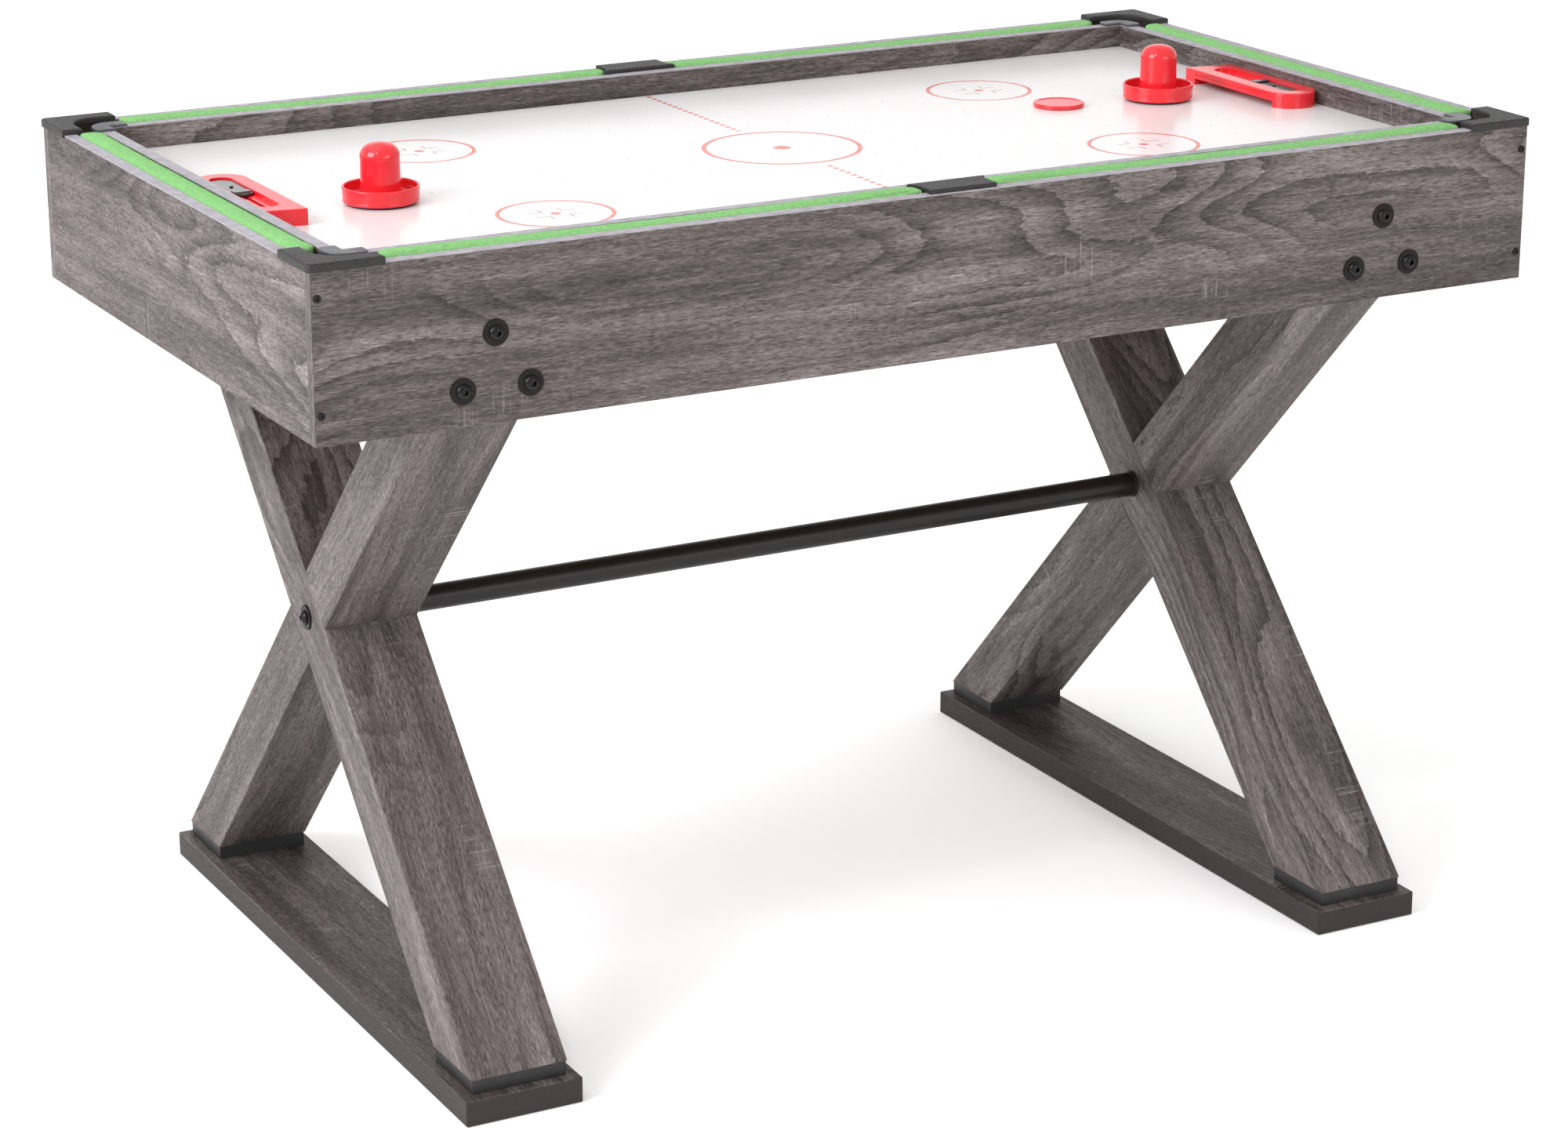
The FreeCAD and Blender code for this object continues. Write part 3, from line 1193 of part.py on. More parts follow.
def make_fan_motor():
    """Stator on the seat, with the shaft that the rotor turns on."""
    seat = Vector(0, 0, fan_low() + size("strut_tall"))
    gap = size("stator_gap")
    stator = Part.makeCylinder(size("rotor_cup") - size("cup_wall") - gap,
                               size("rotor_tall") - 2 * gap, seat)
    shaft = Part.makeCylinder(size("shaft_radius"),
                              size("rotor_low") + size("rotor_tall") - 2 * gap, seat)
    node("fan_motor", made("fan_motor", stator.fuse(shaft)))


def make_fan_rotor():
    """A cup over the stator, with flat blades set at a steep pitch around it."""
    low, tall = fan_low() + size("rotor_low"), size("rotor_tall")
    cup_radius, wall = size("rotor_cup"), size("cup_wall")
    base = Vector(0, 0, low)
    cup = Part.makeCylinder(cup_radius, tall, base)
    cup = cup.cut(Part.makeCylinder(cup_radius - wall, tall - wall, base))
    cup = cup.cut(Part.makeCylinder(size("shaft_radius") + size("thread_gap"), tall, base))
    sweep = ring_solid(size("blade_tip"), cup_radius - wall / 3, tall)
    sweep.translate(base)
    thick, deep = size("blade_thick"), size("blade_deep")
    solids = [cup]
    for index in range(int(size("blades"))):
        blade = Part.makeBox(size("blade_tip"), deep, thick, Vector(0, -deep / 2, -thick / 2))
        blade.rotate(Vector(), Vector(1, 0, 0), size("blade_pitch"))
        blade.translate(Vector(0, 0, low + tall / 2))
        blade.rotate(Vector(), Vector(0, 0, 1), 360 / size("blades") * index)
        solids.append(blade.common(sweep))
    node("fan_rotor", made("fan_rotor", solids[0].fuse(solids[1:]).removeSplitter()))


def make_fan_guard():
    """A pressed finger guard: flat rings on two crossed bars, screwed at the corners."""
    thick, wide, pitch = size("guard_thick"), size("guard_bar"), size("fan_pitch")
    reach_out = pitch * math.sqrt(2)
    rings = [ring_solid(radius, radius - size("guard_ring"), thick) for radius in GUARD_RINGS]
    bars = []
    for angle in (45, 135):
        bar = Part.makeBox(2 * reach_out, wide, thick, Vector(-reach_out, -wide / 2, 0))
        bar.rotate(Vector(), Vector(0, 0, 1), angle)
        bars.append(bar)
    corners = [Vector(x * pitch, y * pitch, 0) for x in (-1, 1) for y in (-1, 1)]
    pads = [Part.makeCylinder(size("guard_pad"), thick, corner) for corner in corners]
    holes = [Part.makeCylinder(size("screw_radius") + size("head_clear"), thick, corner)
             for corner in corners]
    guard = rings[0].fuse(rings[1:] + bars + pads).cut(holes).removeSplitter()
    guard.translate(Vector(0, 0, fan_low() - thick))
    node("fan_guard", made("fan_guard", guard))


def make_control_box():
    """An open-topped plastic box under the floor that holds the switch and inlet."""
    top, low = FLOOR_LOW, f"{FLOOR_LOW} - box_tall"
    middle = f"{low} + box_tall / 2"
    front, far = "box_y - over_cut", "box_y + box_deep"
    shell = block("box_shell", ("box_x", "box_y", low), ("box_x + box_long", far, top))
    ears = block("box_ears", ("box_x - ear_long", "box_y + box_deep / 2 - ear_half",
                              f"{top} - box_wall"),
                 ("box_x + box_long + ear_long", "box_y + box_deep / 2 + ear_half", top))
    hollow = block("box_hollow", ("box_x + box_wall", "box_y + box_wall", f"{low} + box_wall"),
                   ("box_x + box_long - box_wall", f"{far} - box_wall", f"{top} + over_cut"))
    window = block("box_window", ("switch_x - window_half", front, f"{middle} - window_rise"),
                   ("switch_x + window_half", "box_y + box_wall + over_cut",
                    f"{middle} + window_rise"))
    jack = rod("box_jack", ("inlet_x", front, middle), "+Y", "jack_radius + thread_gap",
               "box_wall + 2 * over_cut")
    notch = "lead_radius + thread_gap"
    lead = block("box_lead", (f"lead_x - ({notch})", f"{far} - box_wall - over_cut",
                              f"{top} - rest_gap - 2 * ({notch})"),
                 (f"lead_x + {notch}", f"{far} + over_cut", f"{top} + over_cut"))
    holes = [rod("box_screw", (str(x), str(y), f"{top} - box_wall - over_cut"), "+Z", PILOT,
                 "box_wall + 2 * over_cut") for x, y in ear_screw_spots()]
    node("control_box", cut("control_box", fuse("box_outside", [shell, ears]),
                            [hollow, window, jack, lead, *holes]))


def make_inlet():
    """A barrel inlet: flange outside the box, socket with a centre pin."""
    middle = f"{FLOOR_LOW} - box_tall / 2"
    start = ("inlet_x", "box_y - jack_lip", middle)
    flange = rod("jack_flange", start, "+Y", "jack_flange", "jack_lip")
    barrel = rod("jack_barrel", start, "+Y", "jack_radius", "jack_long")
    socket = rod("jack_socket", ("inlet_x", "box_y - jack_lip - over_cut", middle), "+Y",
                 "jack_bore", "jack_deep + over_cut")
    pin = rod("jack_pin", ("inlet_x", "box_y", middle), "+Y", "jack_pin",
              "jack_long - 2 * jack_lip")
    shell = cut("jack_shell", fuse("jack_outside", [flange, barrel]), [socket])
    node("power_inlet", fuse("power_inlet", [shell, pin]))


def make_switch():
    """A rocker on an upright pivot, resting with its left half out."""
    middle = ledge_top_number() + size("rest_gap") - size("box_tall") / 2
    half, rise, deep = size("rocker_half"), size("rocker_rise"), size("rocker_deep")
    axis = size("rocker_axis")
    face = axis - deep - size("rocker_edge") * 2
    rocker = Part.makeBox(2 * half, deep, 2 * rise, Vector(-half, face, -rise))
    rocker = rocker.makeFillet(size("rocker_edge"), [
        edge for edge in rocker.Edges if abs(edge.BoundBox.YMax - face) < 1e-6])
    rocker.rotate(Vector(), Vector(0, 0, 1), size("rocker_tilt"))
    rocker.translate(Vector(size("switch_x"), size("box_y") + axis, middle))
    node("power_switch", made("power_switch", rocker))


def make_lead():
    """The blower's lead: two straight runs under the floor and one wide bend."""
    radius, x, y, turn = (size(alias) for alias in ("lead_radius", "lead_x", "lead_y",
                                                    "lead_turn"))
    height = ledge_top_number() - radius
    corner = Vector(x - turn, y - turn, height)
    start = Vector(x, size("box_y") + size("box_deep") - size("box_wall") - 1, height)
    slant = turn * math.sin(math.pi / 4)
    bend = Part.Arc(corner + Vector(turn, 0, 0), corner + Vector(slant, slant, 0),
                    corner + Vector(0, turn, 0)).toShape()
    path = Part.Wire([Part.LineSegment(start, corner + Vector(turn, 0, 0)).toShape(), bend,
                      Part.LineSegment(corner + Vector(0, turn, 0),
                                       Vector(size("fan_side") / 2, y, height)).toShape()])
    section = Part.Wire(Part.makeCircle(radius, start, Vector(0, 1, 0)))
    lead = path.makePipeShell([section], True, True)
    expected = math.pi * radius ** 2 * path.Length
    print(f"fan lead: {path.Length:.1f} mm long, bend {turn:.0f} mm,"
          f" volume {lead.Volume / expected:.4f} of section times length")
    node("fan_lead", made("fan_lead", lead))
    make_clips(height)


def make_clips(height):
    """Saddles that hold the lead up against the floor."""
    radius, wall = size("lead_radius"), size("clip_wall")
    long, wide = size("clip_long"), size("clip_wide")
    clip = Part.makeBox(long, wide, 2 * radius + wall + size("rest_gap"),
                        Vector(-long / 2, -wide / 2, -radius - wall))
    clip = clip.cut(Part.makeCylinder(radius + size("thread_gap"), long,
                                      Vector(0, -long / 2, 0), Vector(0, 1, 0)))
    places = [Placement(Vector(size("lead_x"), y, height), Rotation()) for y in CLIPS_Y]
    places.append(Placement(Vector(CLIP_X, size("lead_y"), height),
                            Rotation(Vector(0, 0, 1), 90)))
    node("lead_clips", copies("lead_clips", clip, places))


# ---------------------------------------------------------------- build

def build():
    long_apron("apron_front", -1)
    long_apron("apron_rear", 1)
    end_apron("apron_left", -1)
    end_apron("apron_right", 1)
    make_edge_bands()
    make_cabinet_screws()
    make_ledge()
    make_cushions()
    make_cushion_rails()
    make_caps()
    make_bolts()
    for name, side in SIDES.items():
        make_leg(name, side)
    make_dowels()
    make_feet()
    make_foot_screws()
    make_stretcher()
    make_hockey_walls()
    make_plenum()
    make_corner_trims()
    make_hockey_screws()
    for name, side in SIDES.items():
        make_goal(name, side)
        make_slider(name, side)
    make_strikers()
    make_puck()
    make_fan_frame()
    make_fan_motor()
    make_fan_rotor()
    make_fan_guard()
    make_control_box()
    make_inlet()
    make_switch()
    make_lead()


def export():
    """Check every object and every sub-part, then write one file for each sub-part."""
    doc.recompute()
    for thing in doc.Objects:
        if any(state in ("Invalid", "Error") for state in thing.State):
            raise ValueError(f"{thing.Label} failed: {thing.State}")
    for label, thing in nodes.items():
        if thing.Shape.isNull() or not thing.Shape.isValid() or not thing.Shape.Solids:
            raise ValueError(f"{label} has no valid shape")
    os.makedirs("parts", exist_ok=True)
    for label, thing in nodes.items():
        thing.Shape.exportStep(f"parts/{label}.step")
    print(f"{len(nodes)} sub-parts")


build()
export()
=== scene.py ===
import math
import bmesh
import bpy
from mathutils import Matrix, Vector


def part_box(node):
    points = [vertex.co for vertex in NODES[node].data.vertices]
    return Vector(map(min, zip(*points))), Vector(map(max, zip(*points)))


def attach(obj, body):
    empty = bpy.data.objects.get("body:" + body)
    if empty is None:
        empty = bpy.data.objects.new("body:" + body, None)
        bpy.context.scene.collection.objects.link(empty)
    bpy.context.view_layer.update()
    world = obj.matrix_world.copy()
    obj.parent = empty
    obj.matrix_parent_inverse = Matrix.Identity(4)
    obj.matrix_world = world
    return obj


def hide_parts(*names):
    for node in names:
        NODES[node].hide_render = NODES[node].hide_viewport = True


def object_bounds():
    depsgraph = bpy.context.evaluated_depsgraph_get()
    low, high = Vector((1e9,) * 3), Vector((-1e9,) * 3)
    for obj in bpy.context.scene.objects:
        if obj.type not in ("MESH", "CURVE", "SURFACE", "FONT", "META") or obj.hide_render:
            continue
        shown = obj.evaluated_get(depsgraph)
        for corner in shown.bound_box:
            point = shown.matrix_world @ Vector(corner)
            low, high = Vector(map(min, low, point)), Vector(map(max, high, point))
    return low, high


# Looks of the air hockey table: grey oak laminate, green cloth cushions, red
# plastic goals, strikers and puck, and a printed white playing board.

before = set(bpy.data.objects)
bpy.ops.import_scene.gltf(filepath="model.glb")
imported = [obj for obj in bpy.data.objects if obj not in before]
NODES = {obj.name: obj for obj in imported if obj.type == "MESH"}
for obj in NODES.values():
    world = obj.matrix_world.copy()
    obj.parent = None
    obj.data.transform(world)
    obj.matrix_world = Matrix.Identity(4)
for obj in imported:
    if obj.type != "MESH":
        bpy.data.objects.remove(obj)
CAD_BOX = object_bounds()


def middle(name):
    """Centre of a CAD node's box at rest."""
    low, high = (Vector(corner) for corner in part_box(name))
    return (low + high) / 2


# ---------------------------------------------------------------- node graphs

class Graph:
    """A material's node tree, with short calls for the nodes used here."""

    def __init__(self, name):
        self.material = bpy.data.materials.new(name)
        self.material.use_nodes = True
        self.tree = self.material.node_tree
        self.shader = self.tree.nodes["Principled BSDF"]
        self.place = self.add("TexCoord").outputs["Object"]

    def add(self, kind, **settings):
        node = self.tree.nodes.new("ShaderNode" + kind)
        for key, value in settings.items():
            setattr(node, key, value)
        return node

    def put(self, socket, value):
        if isinstance(value, bpy.types.NodeSocket):
            self.tree.links.new(value, socket)
        else:
            socket.default_value = value

    def math(self, operation, *values):
        node = self.add("Math", operation=operation)
        for socket, value in zip(node.inputs, values):
            self.put(socket, value)
        return node.outputs[0]

    def vector_math(self, operation, *values):
        node = self.add("VectorMath", operation=operation)
        for socket, value in zip(node.inputs, values):
            self.put(socket, value)
        return node.outputs["Value" if operation == "LENGTH" else 0]

    def split(self, vector):
        node = self.add("SeparateXYZ")
        self.put(node.inputs[0], vector)
        return node.outputs[0], node.outputs[1], node.outputs[2]

    def join(self, x, y, z):
        node = self.add("CombineXYZ")
        for socket, value in zip(node.inputs, (x, y, z)):
            self.put(socket, value)
        return node.outputs[0]

    def stretch(self, vector, scale):
        return self.vector_math("MULTIPLY", vector, scale)

    def noise(self, vector, scale, detail=3.0, roughness=0.55):
        node = self.add("TexNoise")
        self.put(node.inputs["Vector"], vector)
        self.put(node.inputs["Scale"], scale)
        self.put(node.inputs["Detail"], detail)
        self.put(node.inputs["Roughness"], roughness)
        return node.outputs["Fac"]

    def cells(self, vector, scale, feature):
        node = self.add("TexVoronoi", feature=feature)
        self.put(node.inputs["Vector"], vector)
        self.put(node.inputs["Scale"], scale)
        return node.outputs["Distance"]

    def level(self, value, low, high, to_low=0.0, to_high=1.0):
        """Value mapped from one range to another, held at both ends."""
        node = self.add("MapRange")
        for key, number in (("Value", value), ("From Min", low), ("From Max", high),
                            ("To Min", to_low), ("To Max", to_high)):
            self.put(node.inputs[key], number)
        return node.outputs["Result"]

    def ramp(self, factor, stops):
        node = self.add("ValToRGB")
        elements = node.color_ramp.elements
        while len(elements) < len(stops):
            elements.new(0.5)
        for element, (place, colour) in zip(elements, stops):
            element.position = place
            element.color = (*colour, 1)
        self.put(node.inputs[0], factor)
        return node.outputs[0]

    def mix(self, factor, first, second, blend="MIX"):
        node = self.add("Mix", data_type="RGBA", blend_type=blend)
        for socket, value in zip((node.inputs[0], node.inputs[6], node.inputs[7]),
                                 (factor, first, second)):
            colour = isinstance(value, tuple)
            self.put(socket, (*value, 1) if colour else value)
        return node.outputs[2]

    def bump(self, height, distance, strength):
        node = self.add("Bump")
        self.put(node.inputs["Strength"], strength)
        self.put(node.inputs["Distance"], distance)
        self.put(node.inputs["Height"], height)
        return node.outputs[0]

    def finish(self, colour, roughness, normal=None, **constants):
        """Fill the shader: textures are linked, plain numbers go on its sockets."""
        self.put(self.shader.inputs["Base Color"], colour)
        self.put(self.shader.inputs["Roughness"], roughness)
        if normal:
            self.put(self.shader.inputs["Normal"], normal)
        for key, value in constants.items():
            self.shader.inputs[key.replace("_", " ")].default_value = value
        return self.material


def mottle(graph, colour, spread, scale):
    """A plain colour with slow, slight variation in lightness."""
    drift = graph.noise(graph.place, scale, detail=2.0)
    dark = tuple(channel * (1 - spread) for channel in colour)
    light = tuple(min(1.0, channel * (1 + spread)) for channel in colour)
    return graph.ramp(drift, [(0.3, dark), (0.7, light)])


# ---------------------------------------------------------------- wood laminate

GREY_OAK = [(0.0, (0.026, 0.020, 0.018)), (0.28, (0.078, 0.062, 0.056)),
            (0.58, (0.180, 0.152, 0.143)), (1.0, (0.46, 0.42, 0.41))]
DARK_EDGE = (0.016, 0.012, 0.010)
EDGE_FLECK = (0.040, 0.031, 0.027)
PINE = [(0.0, (0.36, 0.22, 0.11)), (0.4, (0.52, 0.36, 0.20)), (1.0, (0.70, 0.54, 0.34))]
LENGTHWISE = Matrix.Identity(3)
CROSSWISE = Matrix.Rotation(-math.pi / 2, 3, "Z")
UPRIGHT = Matrix.Rotation(math.pi / 2, 3, "Y")
BAND_MIDDLE = Vector((0, 0, 0.72))

# Noise scales along, across and into a board.
HILLS = (2.3, 8.5, 8.5)
RAGGED = (60.0, 190.0, 190.0)
FIGURED_PARTS = (1.7, 6.0, 6.0)
SAW_LINES = (420.0, 11.0, 11.0)
SAW_PATCHES = (9.0, 15.0, 15.0)
SWAY = (3.4, 13.0, 13.0)
BANDS = (1.8, 30.0, 30.0)
STREAKS = (24.0, 330.0, 330.0)
FIBRES = (130.0, 900.0, 900.0)

# How far each pattern moves the tone.
BANDS_WEIGHT = 1.05
STREAKS_WEIGHT = 0.60
FIBRES_WEIGHT = 0.85
FIGURE_WEIGHT = 0.34
BASE_TONE = -0.175
RINGS = 17.0
RING_SHARPNESS = 2.2
RING_MEAN = 0.31
SWAY_WIDTH = 0.034


def board_place(graph, grain, centre, seed):
    """Position along, across and into a board: its grain turned to X, its middle near zero."""
    node = graph.add("Mapping", vector_type="POINT")
    graph.put(node.inputs["Vector"], graph.place)
    node.inputs["Rotation"].default_value = grain.to_euler()
    wander = Vector((math.sin(seed * 2.1) * 0.4, math.sin(seed * 1.3) * 0.02, seed * 0.37))
    node.inputs["Location"].default_value = wander - grain @ centre
    return node.outputs[0]


def ring_figure(graph, place):
    """Cathedral figure: growth rings as level lines of a slow field stretched along the board."""
    hills = graph.noise(graph.stretch(place, HILLS), 1.0, 1.0, 0.4)
    ragged = graph.noise(graph.stretch(place, RAGGED), 1.0, 3.0, 0.65)
    field = graph.math("MULTIPLY_ADD", ragged, 0.030, hills)
    ring = graph.math("FRACT", graph.math("MULTIPLY", field, RINGS))
    edge = graph.math("POWER", ring, RING_SHARPNESS)
    parts = graph.noise(graph.stretch(place, FIGURED_PARTS), 1.0, 1.0)
    dark = graph.math("SUBTRACT", RING_MEAN, edge)
    return graph.math("MULTIPLY", dark, graph.level(parts, 0.44, 0.60))


def saw_marks(graph, place):
    """Pale scratches across the grain, a few together in sparse patches."""
    lines = graph.noise(graph.stretch(place, SAW_LINES), 1.0, 2.0, 0.5)
    patches = graph.noise(graph.stretch(place, SAW_PATCHES), 1.0, 2.0)
    return graph.math("MULTIPLY", graph.level(lines, 0.58, 0.72),
                      graph.level(patches, 0.60, 0.72))


def wood_colour(graph, grain, centre, seed, stops, lift=0.0):
    """Colour, roughness driver and height of a sawn oak surface."""
    place = board_place(graph, grain, centre, seed)
    sway = graph.noise(graph.stretch(place, SWAY), 1.0, detail=2.0)
    aside = graph.math("MULTIPLY_ADD", sway, SWAY_WIDTH, -SWAY_WIDTH / 2)
    bent = graph.vector_math("ADD", place, graph.join(0.0, aside, 0.0))
    bands = graph.noise(graph.stretch(bent, BANDS), 1.0, 5.0, 0.62)
    streaks = graph.noise(graph.stretch(bent, STREAKS), 1.0, 3.0, 0.62)
    fibres = graph.noise(graph.stretch(bent, FIBRES), 1.0, 2.0, 0.6)
    tone = graph.math("MULTIPLY_ADD", bands, BANDS_WEIGHT, lift + BASE_TONE)
    for pattern, weight in ((streaks, STREAKS_WEIGHT), (fibres, FIBRES_WEIGHT)):
        tone = graph.math("MULTIPLY_ADD", pattern, weight,
                          graph.math("ADD", tone, -weight / 2))
    tone = graph.math("MULTIPLY_ADD", ring_figure(graph, place), FIGURE_WEIGHT, tone)
    colour = graph.ramp(tone, stops)
    pores = graph.level(fibres, 0.43, 0.30)
    colour = graph.mix(graph.math("MULTIPLY", pores, 0.55), colour, stops[0][1])
    colour = graph.mix(graph.math("MULTIPLY", saw_marks(graph, place), 0.5), colour,
                       stops[-1][1])
    height = graph.math("MULTIPLY_ADD", streaks, 0.5, fibres)
    return colour, graph.level(fibres, 0.3, 0.7, 0.62, 0.48), height


def wood(name, grain, centre, seed, stops=GREY_OAK, lift=0.0):
    """Laminate printed and embossed as sawn oak."""
    graph = Graph(name)
    colour, roughness, height = wood_colour(graph, grain, centre, seed, stops, lift)
    return graph.finish(colour, roughness, graph.bump(height, 0.00025, 0.55),
                        Specular_IOR_Level=0.35)


def foot_wood(name, centre, seed):
    """Foot board: oak on top, near-black edging round its sides."""
    graph = Graph(name)
    colour, roughness, height = wood_colour(graph, CROSSWISE, centre, seed, GREY_OAK, -0.16)
    normal = graph.add("TexCoord").outputs["Normal"]
    top = graph.math("GREATER_THAN", graph.split(normal)[2], 0.6)
    fleck = graph.noise(graph.stretch(graph.place, (300.0, 60.0, 300.0)), 1.0)
    edge = graph.mix(graph.math("MULTIPLY", fleck, 0.5), DARK_EDGE, EDGE_FLECK)
    return graph.finish(graph.mix(top, edge, colour), roughness,
                        graph.bump(height, 0.0002, 0.6), Specular_IOR_Level=0.35)


def banding(name, colour, top):
    """Edge band: pale and faintly streaked on top, oak down the ends of the boards."""
    graph = Graph(name)
    streak = graph.noise(graph.stretch(graph.place, (90.0, 90.0, 300.0)), 1.0, 4.0)
    dark = tuple(channel * 0.80 for channel in colour)
    light = tuple(min(1.0, channel * 1.12) for channel in colour)
    pale = graph.ramp(streak, [(0.35, dark), (0.65, light)])
    oak, roughness, height = wood_colour(graph, UPRIGHT, BAND_MIDDLE, 3, GREY_OAK, 0.0)
    on_top = graph.math("GREATER_THAN", graph.split(graph.place)[2], top - BAND_THICK)
    return graph.finish(graph.mix(on_top, oak, pale), roughness,
                        graph.bump(height, 0.00010, 0.4))


# ---------------------------------------------------------------- plain finishes

def felt(name, colour):
    """Wool cloth: short matted fibres, a soft sheen and faint wear."""
    graph = Graph(name)
    fibre = graph.noise(graph.stretch(graph.place, (1.0, 1.0, 1.6)), 1500.0, 4.0, 0.7)
    clump = graph.noise(graph.place, 260.0, 3.0, 0.6)
    wear = graph.noise(graph.place, 14.0, 2.0)
    tone = graph.math("ADD", graph.math("MULTIPLY", fibre, 0.55),
                      graph.math("MULTIPLY", clump, 0.45))
    dark = tuple(channel * 0.72 for channel in colour)
    light = tuple(min(1.0, channel * 1.30 + 0.01) for channel in colour)
    shade = graph.ramp(tone, [(0.34, dark), (0.66, light)])
    pale = tuple(min(1.0, channel * 1.15 + 0.02) for channel in colour)
    shade = graph.mix(graph.level(wear, 0.5, 0.8, 0.0, 0.35), shade, pale)
    height = graph.math("ADD", fibre, graph.math("MULTIPLY", clump, 0.8))
    return graph.finish(shade, graph.level(clump, 0.3, 0.7, 0.88, 0.98),
                        graph.bump(height, 0.00030, 0.8), Sheen_Weight=0.25,
                        Sheen_Roughness=0.5, Sheen_Tint=(*light, 1), Specular_IOR_Level=0.15)


def leather_grain(name, colour, scale=620.0):
    """Moulded plastic with a pebbled leather grain, with painted shade darkening its creases."""
    graph = Graph(name)
    warp = graph.noise(graph.place, 300.0, 2.0)
    place = graph.vector_math("ADD", graph.place, graph.stretch(
        graph.join(warp, graph.math("SUBTRACT", 1.0, warp), warp), (0.0016, 0.0016, 0.0016)))
    pebble = graph.cells(place, scale, "SMOOTH_F1")
    crease = graph.cells(place, scale, "DISTANCE_TO_EDGE")
    # Painted shade: the colour is darkened towards each crease, where shade would fall in the grain.
    shade = graph.mix(graph.level(crease, 0.0, 0.22), tuple(0.28 * c for c in colour), colour)
    shade = graph.mix(graph.level(graph.noise(graph.place, 25.0), 0.45, 0.75, 0.0, 0.4), shade,
                      tuple(1.5 * c for c in colour))
    height = graph.math("SUBTRACT", graph.level(crease, 0.0, 0.3),
                        graph.math("MULTIPLY", pebble, 0.5))
    return graph.finish(shade, graph.level(pebble, 0.0, 0.8, 0.42, 0.62),
                        graph.bump(height, 0.00018, 0.8), Specular_IOR_Level=0.45)


def moulded(name, colour, rough, grain=0.00003, scale=900.0, coat=0.0, spread=0.06):
    """Injection-moulded plastic: fine texture, slight flow marks and handling wear."""
    graph = Graph(name)
    fine = graph.noise(graph.place, scale, 3.0, 0.6)
    slow = graph.noise(graph.place, 11.0, 2.0)
    smear = graph.noise(graph.stretch(graph.place, (40.0, 16.0, 40.0)), 1.0, 3.0)
    shade = mottle(graph, colour, spread, 30.0)
    roughness = graph.math("ADD", graph.level(smear, 0.35, 0.7, rough * 0.85, rough * 1.3),
                           graph.level(slow, 0.4, 0.7, 0.0, rough * 0.15))
    return graph.finish(shade, roughness, graph.bump(fine, grain, 0.5),
                        Coat_Weight=coat, Coat_Roughness=0.06)


def coated_metal(name, colour, rough, grain=0.00006, gloss=0.5):
    """Powder-coated steel: fine orange peel under a satin film."""
    graph = Graph(name)
    peel = graph.noise(graph.place, 700.0, 2.0)
    fleck = graph.noise(graph.place, 2600.0, 2.0)
    shade = mottle(graph, colour, 0.15, 60.0)
    return graph.finish(shade, graph.level(fleck, 0.3, 0.7, rough * 0.85, rough * 1.15),
                        graph.bump(peel, grain, 0.6), Specular_IOR_Level=gloss)


def bare_metal(name, colour, rough):
    """Plated steel with fine drawn scratches."""
    graph = Graph(name)
    drawn = graph.noise(graph.stretch(graph.place, (60.0, 900.0, 900.0)), 1.0, 3.0)
    shade = mottle(graph, colour, 0.12, 90.0)
    return graph.finish(shade, graph.level(drawn, 0.3, 0.7, rough * 0.7, rough * 1.3),
                        graph.bump(drawn, 0.00002, 0.5), Metallic=1.0)


# ---------------------------------------------------------------- playing board

INK = (0.60, 0.115, 0.085)
BOARD_WHITE = (0.745, 0.725, 0.715)
FAINT_INK = (0.42, 0.24, 0.22)
CENTRE_RING = (0.079, 0.0048)
CENTRE_DOT = 0.0088
FACE_OFF = (0.318, 0.157)
FACE_RING = (0.0555, 0.0042)
FACE_DOT = 0.005
HOOK_LONG = (0.0090, 0.0240)
HOOK_NEAR = (0.0078, 0.0100)
HOOK_SIDE = (0.0090, 0.0112)
HOOK_SHORT = (0.0078, 0.0200)
DASH_PITCH = 0.0118
DASH_HALF_WIDTH = 0.0026
DASH_GAP = 0.46
DASH_CLEAR = 0.012
WORN_INK = (0.72, 0.24, 0.19)


def ring_mask(graph, distance, outer, width):
    """One between a ring's inner and outer radius."""
    return graph.math("COMPARE", distance, outer - width / 2, width / 2)


def plan_distance(graph, x, y):
    """Distance from the origin in plan."""
    return graph.vector_math("LENGTH", graph.join(x, y, 0.0))


def within(graph, value, low, high):
    """One where a value lies between two limits."""
    return graph.math("COMPARE", value, (low + high) / 2, (high - low) / 2)


def hook_marks(graph, x, y):
    """Four hooked ticks round a face-off spot: a long bar, and a short one off its inner end."""
    ax = graph.math("ABSOLUTE", x)
    ay = graph.math("ABSOLUTE", y)
    bar = graph.math("MULTIPLY", within(graph, ax, *HOOK_LONG), within(graph, ay, *HOOK_NEAR))
    stub = graph.math("MULTIPLY", within(graph, ax, *HOOK_SIDE), within(graph, ay, *HOOK_SHORT))
    return graph.math("MAXIMUM", bar, stub)


